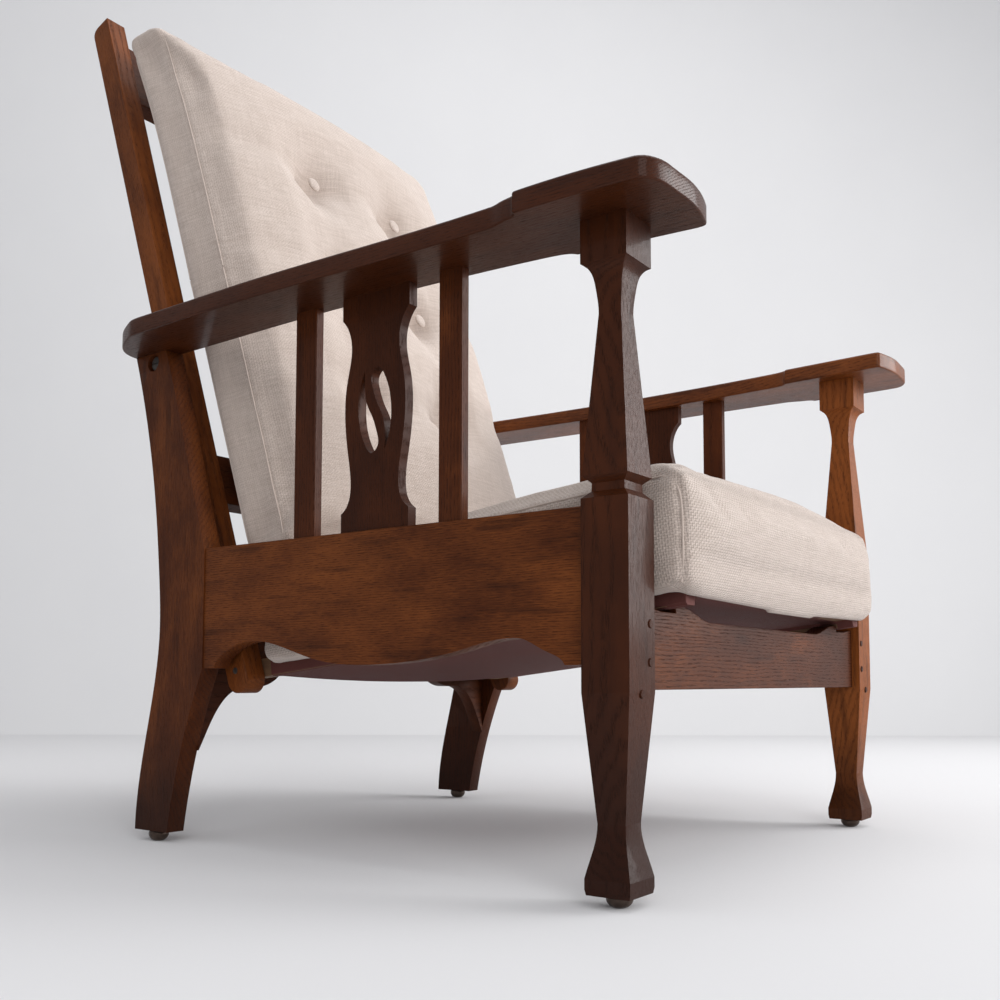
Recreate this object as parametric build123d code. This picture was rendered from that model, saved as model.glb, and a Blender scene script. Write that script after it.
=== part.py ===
from build123d import *
import math
import os

# Plan: two side frames that turn slightly inward to the rear, joined by a front and a rear rail.
POST_SPACING = 648.0
TOE_IN = 1.66
ARM_UNDERSIDE = 614.0
ARM_THICKNESS = 21.0
ARM_TAIL = 3.0
ARM_OVERHANG = 76.0
ARM_HALF_WIDTH = 77.0
ARM_EASE = 4.0

# Square front posts and the glides below the feet.
POST_WIDTH = 48.0
GLIDE_HEIGHT = 11.5
GLIDE_DIAMETER = 24.0
LEG_GLIDE_HEIGHT = 13.0

# Side rail, slats and splat.
RAIL_THICKNESS = 22.0
RAIL_BOTTOM = 212.0
RAIL_TOP = 356.0
RAIL_SHOULDER = 20.0
EDGE_EASE = 1.0
LEG_SETBACK = 565.0
LEG_SWEEP = 146.0
LEG_HEEL_SHARE = 0.863
LEG_TOE_SHARE = 0.425
LEG_THICKNESS = 25.0
SLAT_THICKNESS = 12.0
SPLAT_WIDTH = 97.0
SPLAT_CENTRE_SHARE = 0.5195
REAR_SLAT_WIDTH = 33.0
REAR_SLAT_GAP = 42.0
FRONT_SLAT_WIDTH = 30.0
FRONT_SLAT_GAP = 40.0
PIERCING_HALF_HEIGHT = 46.0
PIERCING_HEIGHT = 485.0
ARM_REACH = LEG_SETBACK + LEG_SWEEP + ARM_TAIL
LEG_GLIDE_SETBACK = LEG_SETBACK + LEG_SWEEP * (LEG_HEEL_SHARE + LEG_TOE_SHARE) / 2
SPLAT_CENTRE = LEG_SETBACK * SPLAT_CENTRE_SHARE
REAR_SLAT_CENTRE = SPLAT_CENTRE + (SPLAT_WIDTH + REAR_SLAT_WIDTH) / 2 + REAR_SLAT_GAP
FRONT_SLAT_CENTRE = SPLAT_CENTRE - (SPLAT_WIDTH + FRONT_SLAT_WIDTH) / 2 - FRONT_SLAT_GAP

# Front and rear rails between the side frames.
FRONT_RAIL_SETBACK = 10.0
FRONT_RAIL_BOTTOM = 189.5
DISH_DEPTH = 6.0
CREST_RISE = 7.0
FRONT_RAIL_SHOULDER = 6.0
NOTCH_CLEARANCE = 4.7
NOTCH_RISE = 4.0
NOTCH_PLAY = 1.5
NOTCH_ROOM = 10.5
NOTCH_SLOPE_SHARE = 0.095
REAR_RAIL_INSET = 35.0
REAR_RAIL_THICKNESS = 20.0
REAR_RAIL_TOP = 300.0
REAR_RAIL_DROP = 116.0

# Joinery and hardware.
TENON_THICKNESS = 8.0
TENON_LENGTH = 14.0
MORTISE_ROOM = 2.0
PEG_DIAMETER = 8.0
PEG_LENGTH = 16.0
PEG_PROUD = 1.2
BOLT_DIAMETER = 8.0
PIN_CLEARANCE = 0.05
HEAD_DIAMETER = 19.0
HEAD_HEIGHT = 6.0
COUNTERBORE_DIAMETER = 22.0
COUNTERBORE_DEPTH = 10.0
WASHER_DIAMETER = 20.0
NUT_WIDTH = 14.0
NUT_HEIGHT = 6.5
PART_GAP = 0.5

# Reclining back, drawn upright from its pivot.
PIVOT_SWEEP_SHARE = 0.7548
PIVOT_COVER = 1.0
PIVOT_GAP = 3.44
BACK_LEAN = 18.6
STILE_THICKNESS = 30.0
STILE_DEPTH = 34.0
STILE_ABOVE = 556.2
STILE_TAIL = 27.5
TOP_RAIL_DEPTH = 98.5
STILE_HORN = 34.0
TOP_RAIL_BASE = STILE_ABOVE - STILE_HORN - TOP_RAIL_DEPTH
LOWER_RAIL_BASE = -195.3
LOWER_RAIL_DEPTH = 68.5
BACK_RAIL_THICKNESS = 22.0
BACK_RAIL_SETBACK = 2.0
BACK_SLAT_WIDTH = 42.0
BACK_SLAT_THICKNESS = 10.0
BACK_SLAT_COUNT = 5
REAR_RAIL_FACE = LEG_SETBACK + REAR_RAIL_INSET
PIVOT_SETBACK = LEG_SETBACK + LEG_SWEEP * PIVOT_SWEEP_SHARE
PIVOT_HEIGHT = ARM_UNDERSIDE - COUNTERBORE_DIAMETER / 2 - PIVOT_COVER
LEG_AXIS = POST_SPACING / 2 - PIVOT_SETBACK * math.sin(math.radians(TOE_IN))
STILE_SPACING = 2 * (LEG_AXIS - LEG_THICKNESS / 2 - PIVOT_GAP) - STILE_THICKNESS

# Sliding seat, drawn level from its link pins.
LINK_DROP = 414.3
SEAT_SLOPE = 6.8
RUNNER_WIDTH = 20.0
RUNNER_BELOW = 9.0
RUNNER_ABOVE = 13.0
RUNNER_INSET = 1.0
SEAT_OVERHANG = 19.86
MEMBER_THICKNESS = 20.0
REAR_MEMBER_START = 38.0
REAR_MEMBER_LIFT = 2.0
WEB_WIDTH = 50.0
WEB_THICKNESS = 1.5
CROSS_WEBS = 4
LONG_WEBS = 5
CLOTH_THICKNESS = 1.2
CLOTH_SAG = 7.0
CLOTH_RISE_AT = 438.0
CLOTH_START = 30.0
STILE_BELOW = LINK_DROP + STILE_TAIL
LINK_SETBACK = PIVOT_SETBACK - LINK_DROP * math.sin(math.radians(BACK_LEAN))
LINK_HEIGHT = PIVOT_HEIGHT - LINK_DROP * math.cos(math.radians(BACK_LEAN))
RAIL_FACE = FRONT_RAIL_SETBACK - POST_WIDTH / 2
SLOPE_COSINE = math.cos(math.radians(SEAT_SLOPE))
SLOPE_SINE = math.sin(math.radians(SEAT_SLOPE))
SEAT_REACH = (LINK_SETBACK - RAIL_FACE + SEAT_OVERHANG) / SLOPE_COSINE
RUNNER_OUTER = STILE_SPACING / 2 - STILE_THICKNESS / 2 - RUNNER_INSET
NOTCH_INNER = RUNNER_OUTER - RUNNER_WIDTH - NOTCH_PLAY
NOTCH_OUTER = RUNNER_OUTER + NOTCH_ROOM
RUNNER_UNDERSIDE = LINK_HEIGHT + ((LINK_SETBACK - RAIL_FACE) * SLOPE_SINE - RUNNER_BELOW) / SLOPE_COSINE
NOTCH_FLOOR = RUNNER_UNDERSIDE - NOTCH_CLEARANCE
FRONT_RAIL_TOP = NOTCH_FLOOR - DISH_DEPTH
FRONT_RAIL_CREST = NOTCH_FLOOR + CREST_RISE

# Cushions.
SEAT_CUSHION_ROOM = 9.0
SEAT_CUSHION_EDGE = 124.0
SEAT_REAR_EDGE_SHARE = 0.846
SEAT_CUSHION_LIP = 19.0
SEAT_CUSHION_CROWN = 25.0
SEAT_CUSHION_HEM = 2.0
SEAT_CUSHION_DROOP = 9.0
CUSHION_ROUND = 14.0
CUSHION_REST_GAP = 0.3
BACK_CUSHION_INSET = 5.5
BACK_CUSHION_PLAY = 13.37
BACK_CUSHION_HEIGHT = 784.0
BACK_CUSHION_SEAM_FRONT = 124.0
BACK_CUSHION_SEAM_REAR = 60.0
BACK_CUSHION_FRONT_CROWN = 40.0
BUTTON_SPACING = 176.0
BUTTON_ROW_SPACING = 171.0
BUTTON_ROW_MIDDLE = 105.0
BUTTON_ROWS = 3
BUTTON_DIAMETER = 21.0
BUTTON_HEIGHT = 6.0
TUFT_DEPTH = 15.0
TUFT_RADIUS = 110.0
SEAT_CUSHION_WIDTH = POST_SPACING - POST_WIDTH - SEAT_CUSHION_ROOM * 2
SEAT_CUSHION_FRONT = SEAT_REACH + SEAT_CUSHION_LIP
BACK_CUSHION_WIDTH = STILE_SPACING + STILE_THICKNESS - BACK_CUSHION_INSET * 2


def straight(*points):
    return [Line(a, b) for a, b in zip(points, points[1:])]


def smooth(*points, tangents=None):
    if tangents:
        return [Spline(*points, tangents=tangents)]
    return [Spline(*points)]


def face_of(*runs):
    edges = []
    for run in runs:
        edges += run
    return make_face(edges)


def block(x_range, y_range, z_range):
    size = [high - low for low, high in (x_range, y_range, z_range)]
    middle = [(high + low) / 2 for low, high in (x_range, y_range, z_range)]
    return Pos(*middle) * Box(*size)


def both_ends(inner, outer, y_range, z_range):
    return [block(sorted((sign * inner, sign * outer)), y_range, z_range) for sign in (1, -1)]


def along_x(face, thickness):
    return extrude(Plane.YZ * face, amount=thickness / 2, both=True)


def along_y(face, start, thickness):
    plane = Plane(origin=(0, start, 0), x_dir=(1, 0, 0), z_dir=(0, -1, 0))
    return extrude(plane * face, amount=-thickness)


def rod_x(diameter, x_start, x_end, y, z):
    middle = (x_start + x_end) / 2
    return Pos(middle, y, z) * Rot(0, 90, 0) * Cylinder(diameter / 2, abs(x_end - x_start))


def other_side(shape):
    return mirror(shape, about=Plane.YZ)


def side_frame(shape):
    return Pos(-POST_SPACING / 2, 0, 0) * Rot(0, 0, -TOE_IN) * shape


# Front post: one silhouette, the same on all four faces.
def post_silhouette():
    half = POST_WIDTH / 2
    foot_share = GLIDE_HEIGHT / ARM_UNDERSIDE

    def at(width_share, height_share):
        return (half * width_share, ARM_UNDERSIDE * height_share)

    def side(sign):
        def here(width_share, height_share):
            x, z = at(width_share, height_share)
            return (sign * x, z)

        foot = straight(here(0.9, foot_share), here(0.94, 0.027), here(0.94, 0.042))
        ankle = smooth(here(0.94, 0.042), here(0.83, 0.061), here(0.585, 0.119),
                       tangents=((-sign * 0.2, 1), (0, 1)))
        lower = straight(here(0.585, 0.119), here(1, 0.305), here(1, 0.586), here(0.7, 0.597),
                         here(0.69, 0.609), here(0.96, 0.619), here(0.48, 0.862))
        flare = smooth(here(0.48, 0.862), here(0.56, 0.9), here(0.985, 0.935),
                       tangents=((0, 1), (sign * 1, 0.45)))
        cap = straight(here(0.985, 0.935), here(0.985, 1))
        return foot + ankle + lower + flare + cap

    base = straight(at(-0.9, foot_share), at(0.9, foot_share))
    top = straight(at(-0.985, 1), at(0.985, 1))
    return face_of(base, side(1), top, side(-1))


def post_tenon(room=0):
    half = POST_WIDTH / 4
    return block((-half, half), (-half, half), (ARM_UNDERSIDE - room, ARM_UNDERSIDE + TENON_LENGTH + room))


def front_post():
    silhouette = post_silhouette()
    depth = POST_WIDTH
    one_way = along_y(silhouette, -depth, depth * 2)
    other_way = Rot(0, 0, 90) * along_y(silhouette, -depth, depth * 2)
    return one_way & other_way


# Side rail in its own frame: y rearward, z up, thickness across x.
def side_rail():
    length = LEG_SETBACK
    depth = RAIL_TOP - RAIL_BOTTOM

    def at(length_share, depth_share):
        return (length * length_share, RAIL_BOTTOM + depth * depth_share)

    top = straight(at(0.965, 0), at(1, 0), at(1, 1), at(0, 1), at(0, 0), at(0.088, 0))
    front = smooth(at(0.088, 0), at(0.126, 0.09), at(0.19, 0.18), tangents=((0.5, 1), (1, 0)))
    lobe = smooth(at(0.19, 0.18), at(0.313, 0.1), at(0.48, 0.02), at(0.67, 0.065), at(0.845, 0.215),
                  tangents=((1, 0), (1, 0)))
    rear = smooth(at(0.845, 0.215), at(0.925, 0.14), at(0.965, 0), tangents=((1, 0), (0.35, -1)))
    board = along_x(face_of(top, front, lobe, rear), RAIL_THICKNESS)
    return chamfer(board.edges().filter_by(Axis.Y).group_by(Axis.Z)[-1], EDGE_EASE)


def rail_tenon(y_face, direction, room=0):
    reach = TENON_LENGTH + room
    ends = sorted((y_face - direction * MORTISE_ROOM, y_face + direction * reach))
    height = (RAIL_BOTTOM + RAIL_SHOULDER, RAIL_TOP - RAIL_SHOULDER)
    return block((-TENON_THICKNESS / 2, TENON_THICKNESS / 2), ends, height)


# Rear leg: a sawn board, kicked back at the foot and at the top.
def rear_leg():
    def at(sweep_share, height):
        return (LEG_SETBACK + LEG_SWEEP * sweep_share, height)

    def up(height_share):
        return ARM_UNDERSIDE * height_share

    foot = LEG_GLIDE_HEIGHT
    rear = smooth(at(LEG_HEEL_SHARE, foot), at(0.77, up(0.175)), at(0.62, up(0.333)), at(0.578, up(0.42)),
                  at(0.6, up(0.53)), at(0.705, up(0.726)), at(1, up(1)))
    front_low = smooth(at(LEG_TOE_SHARE, foot), at(0.267, up(0.18)), at(0, RAIL_BOTTOM))
    front_high = smooth(at(0, RAIL_TOP), at(0.06, up(0.621)), at(0.329, up(0.824)), at(0.575, up(1)))
    face = face_of(straight(at(LEG_TOE_SHARE, foot), at(LEG_HEEL_SHARE, foot)), rear,
                   straight(at(1, up(1)), at(0.575, up(1))), front_high,
                   straight(at(0, RAIL_TOP), at(0, RAIL_BOTTOM)), front_low)
    return along_x(face, LEG_THICKNESS)


def leg_tenon(room=0):
    low = LEG_SETBACK + LEG_SWEEP * 0.68
    high = LEG_SETBACK + LEG_SWEEP * 0.93
    half = TENON_THICKNESS / 2
    return block((-half, half), (low, high), (ARM_UNDERSIDE - room, ARM_UNDERSIDE + TENON_LENGTH + room))


# Upright slats and the pierced splat between the side rail and the arm.
def upright(width, centre):
    half = SLAT_THICKNESS / 2
    bar = block((-half, half), (centre - width / 2, centre + width / 2), (RAIL_TOP, ARM_UNDERSIDE))
    return chamfer(bar.edges().filter_by(Axis.Z), EDGE_EASE)


def upright_tenons(width, centre, room=0):
    half = TENON_THICKNESS / 2
    reach = TENON_LENGTH * 0.7 + room
    span = (centre - width * 0.35, centre + width * 0.35)
    below = block((-half, half), span, (RAIL_TOP - reach, RAIL_TOP + room))
    above = block((-half, half), span, (ARM_UNDERSIDE - room, ARM_UNDERSIDE + reach))
    return [below, above]


def splat_board():
    half = SPLAT_WIDTH / 2
    height = ARM_UNDERSIDE - RAIL_TOP

    def side(sign):
        def at(width_share, height_share):
            return (SPLAT_CENTRE + sign * half * width_share, RAIL_TOP + height * height_share)

        low = straight(at(1, 0), at(1, 0.081))
        waist = smooth(at(1, 0.081), at(0.77, 0.13), at(0.71, 0.2), at(0.8, 0.33), at(0.9, 0.49),
                       at(0.85, 0.63), at(0.71, 0.78), at(0.8, 0.855), at(1, 0.907))
        return low + waist + straight(at(1, 0.907), at(1, 1))

    left, right = SPLAT_CENTRE - half, SPLAT_CENTRE + half
    ends = straight((left, RAIL_TOP), (right, RAIL_TOP))
    ends += straight((left, ARM_UNDERSIDE), (right, ARM_UNDERSIDE))
    board = along_x(face_of(ends, side(1), side(-1)), SLAT_THICKNESS)
    drop_shares = [(0.315, 0.957), (0.49, 0.457), (0.49, -0.24), (0.315, -0.76), (0.076, -1), (-0.1, -0.85),
                   (-0.076, -0.54), (0.076, -0.15), (0.25, 0.174), (0.315, 0.52), (0.315, 0.957)]
    for turn in (1, -1):
        reach = turn * PIERCING_HALF_HEIGHT
        drop = [(SPLAT_CENTRE + reach * y, PIERCING_HEIGHT + reach * z) for y, z in drop_shares]
        board -= along_x(face_of(smooth(*drop)), SLAT_THICKNESS * 2)
    return board


# Arm: paddle front with an ogee step on both edges, rounded outer rear corner.
def arm_board():
    def at(reach_share, width_share):
        y = ARM_REACH * reach_share
        return (-ARM_HALF_WIDTH * width_share, y)

    def front(overhang_share, width_share):
        return (-ARM_HALF_WIDTH * width_share, -ARM_OVERHANG * overhang_share)

    rear_end = straight(at(1, -0.16), at(1, 0.02))
    rear_round = smooth(at(1, 0.02), at(0.982, 0.5), at(0.91, 0.885), at(0.8, 0.955),
                        tangents=((-1, 0), (0, -1)))
    outer = smooth(at(0.8, 0.955), at(0.6, 0.955), at(0.375, 0.87), at(0.14, 0.805),
                   tangents=((0, -1), (0, -1)))
    cove = smooth(at(0.14, 0.805), at(0.112, 0.865), at(0.087, 0.98), tangents=((0, -1), (-1, -0.2)))
    paddle = smooth(at(0.087, 0.98), at(0, 0.965), front(0.72, 0.9))
    corner = smooth(front(0.72, 0.9), front(0.95, 0.72), front(1, 0.45), tangents=((0.12, -1), (1, 0)))
    nose = smooth(front(1, 0.45), front(1, -0.1), front(0.87, -0.66), tangents=((1, 0), (1, 0.35)))
    inner_corner = smooth(front(0.87, -0.66), front(0.7, -0.7), tangents=((1, 0.35), (-0.1, 1)))
    inner = straight(front(0.7, -0.7), at(0.094, -0.532))
    ogee = smooth(at(0.094, -0.532), at(0.116, -0.415), at(0.15, -0.372), tangents=((-1, 0.5), (-0.12, 1)))
    inner_long = smooth(at(0.15, -0.372), at(0.26, -0.273), at(0.54, -0.143), at(0.91, -0.16),
                        tangents=((-0.12, 1), (0, 1)))
    tail = straight(at(0.91, -0.16), at(1, -0.16))
    outline = face_of(rear_end, rear_round, outer, cove, paddle, corner, nose, inner_corner, inner, ogee,
                      inner_long, tail)
    board = Pos(0, 0, ARM_UNDERSIDE) * extrude(outline, amount=ARM_THICKNESS)
    faces = board.faces().sort_by(Axis.Z)
    board = fillet(faces[-1].edges(), ARM_EASE)
    return fillet(board.faces().sort_by(Axis.Z)[0].edges(), ARM_EASE / 2)


# Front rail: two crests beside the notches that the seat's runners slide over.
def front_rail():
    half = POST_SPACING / 2 - POST_WIDTH / 2

    def side(sign):
        flat = straight((0, FRONT_RAIL_TOP), (sign * half * 0.51, FRONT_RAIL_TOP))
        rise = FRONT_RAIL_CREST - FRONT_RAIL_TOP
        crest = (sign * NOTCH_INNER * 0.975, FRONT_RAIL_CREST)
        swell = smooth((sign * half * 0.51, FRONT_RAIL_TOP), (sign * half * 0.6, FRONT_RAIL_TOP + rise * 0.3),
                       (sign * half * 0.68, FRONT_RAIL_TOP + rise * 0.8), crest,
                       tangents=((sign, 0), (sign, 0)))
        notch = straight(crest, (sign * NOTCH_INNER, FRONT_RAIL_CREST),
                         (sign * NOTCH_INNER, NOTCH_FLOOR), (sign * NOTCH_OUTER, NOTCH_FLOOR),
                         (sign * half, NOTCH_FLOOR + NOTCH_RISE), (sign * half, FRONT_RAIL_BOTTOM))
        return flat + swell + notch

    base = straight((-half, FRONT_RAIL_BOTTOM), (half, FRONT_RAIL_BOTTOM))
    board = along_y(face_of(base, side(1), side(-1)), RAIL_FACE, RAIL_THICKNESS)
    for sign in (1, -1):
        low, high = sorted((sign * NOTCH_INNER, sign * NOTCH_OUTER))
        fall = math.degrees(math.atan(NOTCH_SLOPE_SHARE))
        bevel = Pos(0, RAIL_FACE, NOTCH_FLOOR) * Rot(-fall, 0, 0) * block(
            (low, high), (0, RAIL_THICKNESS * 2), (0, RAIL_THICKNESS))
        board -= bevel
    return board


def front_rail_tenons(room=0):
    half = POST_SPACING / 2 - POST_WIDTH / 2
    middle = RAIL_FACE + RAIL_THICKNESS / 2
    depth = (middle - TENON_THICKNESS / 2, middle + TENON_THICKNESS / 2)
    height = (FRONT_RAIL_BOTTOM + FRONT_RAIL_SHOULDER, FRONT_RAIL_TOP - FRONT_RAIL_SHOULDER)
    return both_ends(half - MORTISE_ROOM, half + TENON_LENGTH + room, depth, height)


# Rear rail: bracket-shaped ends under a shallow arch.
def rear_rail():
    half = POST_SPACING / 2
    drop = REAR_RAIL_TOP - REAR_RAIL_DROP

    def side(sign):
        def at(width_share, drop_share):
            return (sign * half * width_share, drop * drop_share)

        end = straight(at(0, REAR_RAIL_TOP / drop), at(0.94, REAR_RAIL_TOP / drop), at(0.94, 0.52))
        bracket = smooth(at(0.94, 0.52), at(0.85, 0.8), at(0.778, 0.962), at(0.642, 1.027))
        lobe = smooth(at(0.642, 1.027), at(0.555, 1.052), at(0.497, 1.12), at(0.47, 1.2))
        arch = smooth(at(0.47, 1.2), at(0.25, 1.25), at(0, 1.26), tangents=((-sign * 1, 0.3), (-sign * 1, 0)))
        return end + bracket + lobe + arch

    board = along_y(face_of(side(1), side(-1)), REAR_RAIL_FACE, REAR_RAIL_THICKNESS)
    beyond = side_frame(block((-POST_SPACING, LEG_THICKNESS / 2), (0, ARM_REACH), (0, ARM_UNDERSIDE)))
    board -= beyond
    board -= other_side(beyond)
    return board


def rear_rail_tenons(room=0):
    middle = REAR_RAIL_FACE + REAR_RAIL_THICKNESS / 2
    depth = (middle - TENON_THICKNESS / 2, middle + TENON_THICKNESS / 2)
    height = (REAR_RAIL_TOP * 0.55, REAR_RAIL_TOP * 0.93)
    leg_face = POST_SPACING / 2 - middle * math.sin(math.radians(TOE_IN)) - LEG_THICKNESS / 2
    inner = leg_face - MORTISE_ROOM
    return both_ends(inner, leg_face + TENON_LENGTH + room, depth, height)


# Small hardware.
def glide(height, diameter):
    radius = diameter / 2
    flat = radius * 0.3
    profile = face_of(straight((flat, 0), (0, 0), (0, height), (radius * 0.9, height)),
                      smooth((radius * 0.9, height), (radius, height * 0.55),
                             (radius * 0.72, height * 0.15), (flat, 0)))
    return revolve(Plane.XZ * profile, axis=Axis.Z)


def hexagon_x(width, x_start, x_end, y, z):
    blank = extrude(RegularPolygon(width / 2, 6, major_radius=False), amount=(x_end - x_start))
    return Pos(x_start, y, z) * Rot(0, 90, 0) * blank


def pivot_hardware():
    y, z = PIVOT_SETBACK, PIVOT_HEIGHT
    floor = -LEG_AXIS - LEG_THICKNESS / 2 + COUNTERBORE_DEPTH
    stile_outer = -STILE_SPACING / 2 - STILE_THICKNESS / 2
    stile_inner = stile_outer + STILE_THICKNESS
    spot = -LEG_AXIS + LEG_THICKNESS / 2 - PART_GAP
    nut_start = stile_inner + PART_GAP
    nut_end = nut_start + NUT_HEIGHT
    head = rod_x(HEAD_DIAMETER, floor - HEAD_HEIGHT, floor, y, z)
    outer_rim = head.edges().sort_by(Axis.X)[0]
    head = chamfer(outer_rim, HEAD_HEIGHT / 4)
    head -= Pos(floor - HEAD_HEIGHT, y, z) * Box(HEAD_HEIGHT / 2, HEAD_DIAMETER * 1.2, HEAD_HEIGHT / 4)
    bolt = head + rod_x(BOLT_DIAMETER, floor, nut_end + NUT_HEIGHT / 3, y, z)
    bore = BOLT_DIAMETER + PIN_CLEARANCE * 2
    washer = rod_x(WASHER_DIAMETER, spot, stile_outer - PART_GAP, y, z) - rod_x(bore, spot, stile_outer, y, z)
    nut = hexagon_x(NUT_WIDTH, nut_start, nut_end, y, z) - rod_x(bore, nut_start, nut_end, y, z)
    leg_cuts = [rod_x(bore, floor, stile_outer, y, z),
                rod_x(COUNTERBORE_DIAMETER, floor - COUNTERBORE_DEPTH * 3, floor, y, z),
                rod_x(WASHER_DIAMETER + PART_GAP * 2, spot, stile_outer, y, z)]
    stile_cut = rod_x(bore, stile_outer - PART_GAP, stile_inner + PART_GAP, 0, 0)
    return bolt, washer, nut, leg_cuts, stile_cut


def link_pin():
    stile_outer = -STILE_SPACING / 2 - STILE_THICKNESS / 2
    runner_inner = stile_outer + STILE_THICKNESS + RUNNER_INSET + RUNNER_WIDTH
    return rod_x(BOLT_DIAMETER, stile_outer, runner_inner - PART_GAP, LINK_SETBACK, LINK_HEIGHT)


# The back frame: y rearward and z up along the stiles, pivot at zero.
def back_place(shape):
    return Pos(0, PIVOT_SETBACK, PIVOT_HEIGHT) * Rot(-BACK_LEAN, 0, 0) * shape


def stile():
    half = STILE_DEPTH / 2
    low = -STILE_BELOW + half
    side_view = face_of(straight((-half, low), (-half, STILE_ABOVE), (half * 0.2, STILE_ABOVE)),
                        smooth((half * 0.2, STILE_ABOVE), (half, STILE_ABOVE - half * 0.8),
                               tangents=((1, 0), (0, -1))),
                        straight((half, STILE_ABOVE - half * 0.8), (half, low)),
                        [ThreePointArc((half, low), (0, -STILE_BELOW), (-half, low))])
    bar = along_x(side_view, STILE_THICKNESS)
    bar = chamfer(bar.edges().filter_by(Axis.Z), EDGE_EASE)
    return Pos(-STILE_SPACING / 2, 0, 0) * bar


def back_rail(base, depth):
    half = (STILE_SPACING - STILE_THICKNESS) / 2
    front = -STILE_DEPTH / 2 + BACK_RAIL_SETBACK
    bar = block((-half, half), (front, front + BACK_RAIL_THICKNESS), (base, base + depth))
    return chamfer(bar.edges().filter_by(Axis.X), EDGE_EASE)


def back_rail_tenons(base, depth, room=0):
    half = (STILE_SPACING - STILE_THICKNESS) / 2
    middle = -STILE_DEPTH / 2 + BACK_RAIL_SETBACK + BACK_RAIL_THICKNESS / 2
    y_range = (middle - TENON_THICKNESS / 2, middle + TENON_THICKNESS / 2)
    z_range = (base + depth * 0.15, base + depth * 0.85)
    return both_ends(half - MORTISE_ROOM, half + TENON_LENGTH + room, y_range, z_range)


def back_slat(index, room=0, tenon=False):
    step = (STILE_SPACING - STILE_THICKNESS) / (BACK_SLAT_COUNT + 1)
    centre = step * (index - (BACK_SLAT_COUNT - 1) / 2)
    middle = -STILE_DEPTH / 2 + BACK_RAIL_SETBACK + BACK_RAIL_THICKNESS / 2
    low, high = LOWER_RAIL_BASE + LOWER_RAIL_DEPTH, TOP_RAIL_BASE
    if tenon:
        half, thick = BACK_SLAT_WIDTH * 0.38, BACK_SLAT_THICKNESS * 0.6
        reach = TENON_LENGTH + room
        low, high = low - reach, high + reach
    else:
        half, thick = BACK_SLAT_WIDTH / 2, BACK_SLAT_THICKNESS
    return block((centre - half, centre + half), (middle - thick / 2, middle + thick / 2), (low, high))


# The seat: drawn with y forward from the link pins as minus y, z square to the runners.
def seat_place(shape):
    return Pos(0, LINK_SETBACK, LINK_HEIGHT) * Rot(-SEAT_SLOPE, 0, 0) * shape


def runner():
    half = (RUNNER_BELOW + RUNNER_ABOVE) / 2
    middle = RUNNER_ABOVE - half
    front = -(SEAT_REACH - MEMBER_THICKNESS)
    side_view = face_of(straight((0, RUNNER_ABOVE), (front, RUNNER_ABOVE),
                                 (front, -RUNNER_BELOW), (0, -RUNNER_BELOW)),
                        [ThreePointArc((0, -RUNNER_BELOW), (half, middle), (0, RUNNER_ABOVE))])
    bar = along_x(side_view, RUNNER_WIDTH)
    return Pos(-RUNNER_OUTER + RUNNER_WIDTH / 2, 0, 0) * bar


def webbing():
    outer = RUNNER_OUTER
    straps = []
    first, last = REAR_MEMBER_START + MEMBER_THICKNESS, SEAT_REACH - MEMBER_THICKNESS
    for index in range(CROSS_WEBS):
        centre = -(first + (last - first) * (index + 0.5) / CROSS_WEBS)
        straps.append(block((-outer, outer), (centre - WEB_WIDTH / 2, centre + WEB_WIDTH / 2),
                            (RUNNER_ABOVE, RUNNER_ABOVE + WEB_THICKNESS)))
    low = RUNNER_ABOVE + WEB_THICKNESS
    for index in range(LONG_WEBS):
        centre = outer * 2 * ((index + 0.5) / LONG_WEBS - 0.5)
        strap = block((centre - WEB_WIDTH / 2, centre + WEB_WIDTH / 2), (-SEAT_REACH, -REAR_MEMBER_START),
                      (low, low + WEB_THICKNESS))
        ends = [block((centre - WEB_WIDTH / 2, centre + WEB_WIDTH / 2), y_range, (RUNNER_ABOVE, low))
                for y_range in ((-SEAT_REACH, -SEAT_REACH + MEMBER_THICKNESS / 2),
                                (-REAR_MEMBER_START - MEMBER_THICKNESS / 2, -REAR_MEMBER_START))]
        for end in ends:
            strap += end
        straps.append(strap)
    return straps


def cover_cloth():
    outer = RUNNER_OUTER
    skin = outer + CLOTH_THICKNESS
    inner = outer - RUNNER_WIDTH
    back_edge = -CLOTH_START
    pieces = []
    for sign in (1, -1):
        side = sorted((sign * outer, sign * skin))
        pieces.append(block(side, (-SEAT_REACH, back_edge), (-RUNNER_BELOW, RUNNER_ABOVE)))
    pieces.append(block((-skin, skin), (-SEAT_REACH - CLOTH_THICKNESS, -SEAT_REACH), (0, RUNNER_ABOVE)))
    below = [(-inner, -RUNNER_BELOW), (0, -RUNNER_BELOW - CLOTH_SAG), (inner, -RUNNER_BELOW)]
    above = [(x, z + CLOTH_THICKNESS) for x, z in below]
    sheet = face_of([ThreePointArc(*below), ThreePointArc(*above)],
                    straight(below[0], above[0]) + straight(below[2], above[2]))
    full = CLOTH_RISE_AT - REAR_MEMBER_START
    pieces.append(along_y(sheet, -CLOTH_RISE_AT, full))
    riser = face_of([ThreePointArc(*below)],
                    straight(below[0], (-inner, CLOTH_THICKNESS), (inner, CLOTH_THICKNESS), below[2]))
    pieces.append(along_y(riser, -CLOTH_RISE_AT - CLOTH_THICKNESS, CLOTH_THICKNESS))
    front = block((-inner, inner), (-SEAT_REACH + MEMBER_THICKNESS, -CLOTH_RISE_AT - CLOTH_THICKNESS),
                  (0, CLOTH_THICKNESS))
    pieces.append(front)
    return pieces


# Soft forms: rounded sections lofted from end to end, crowned where the filling swells.
def crown_radius(half, rise):
    return (half * half + rise * rise) / (2 * rise)


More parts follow.
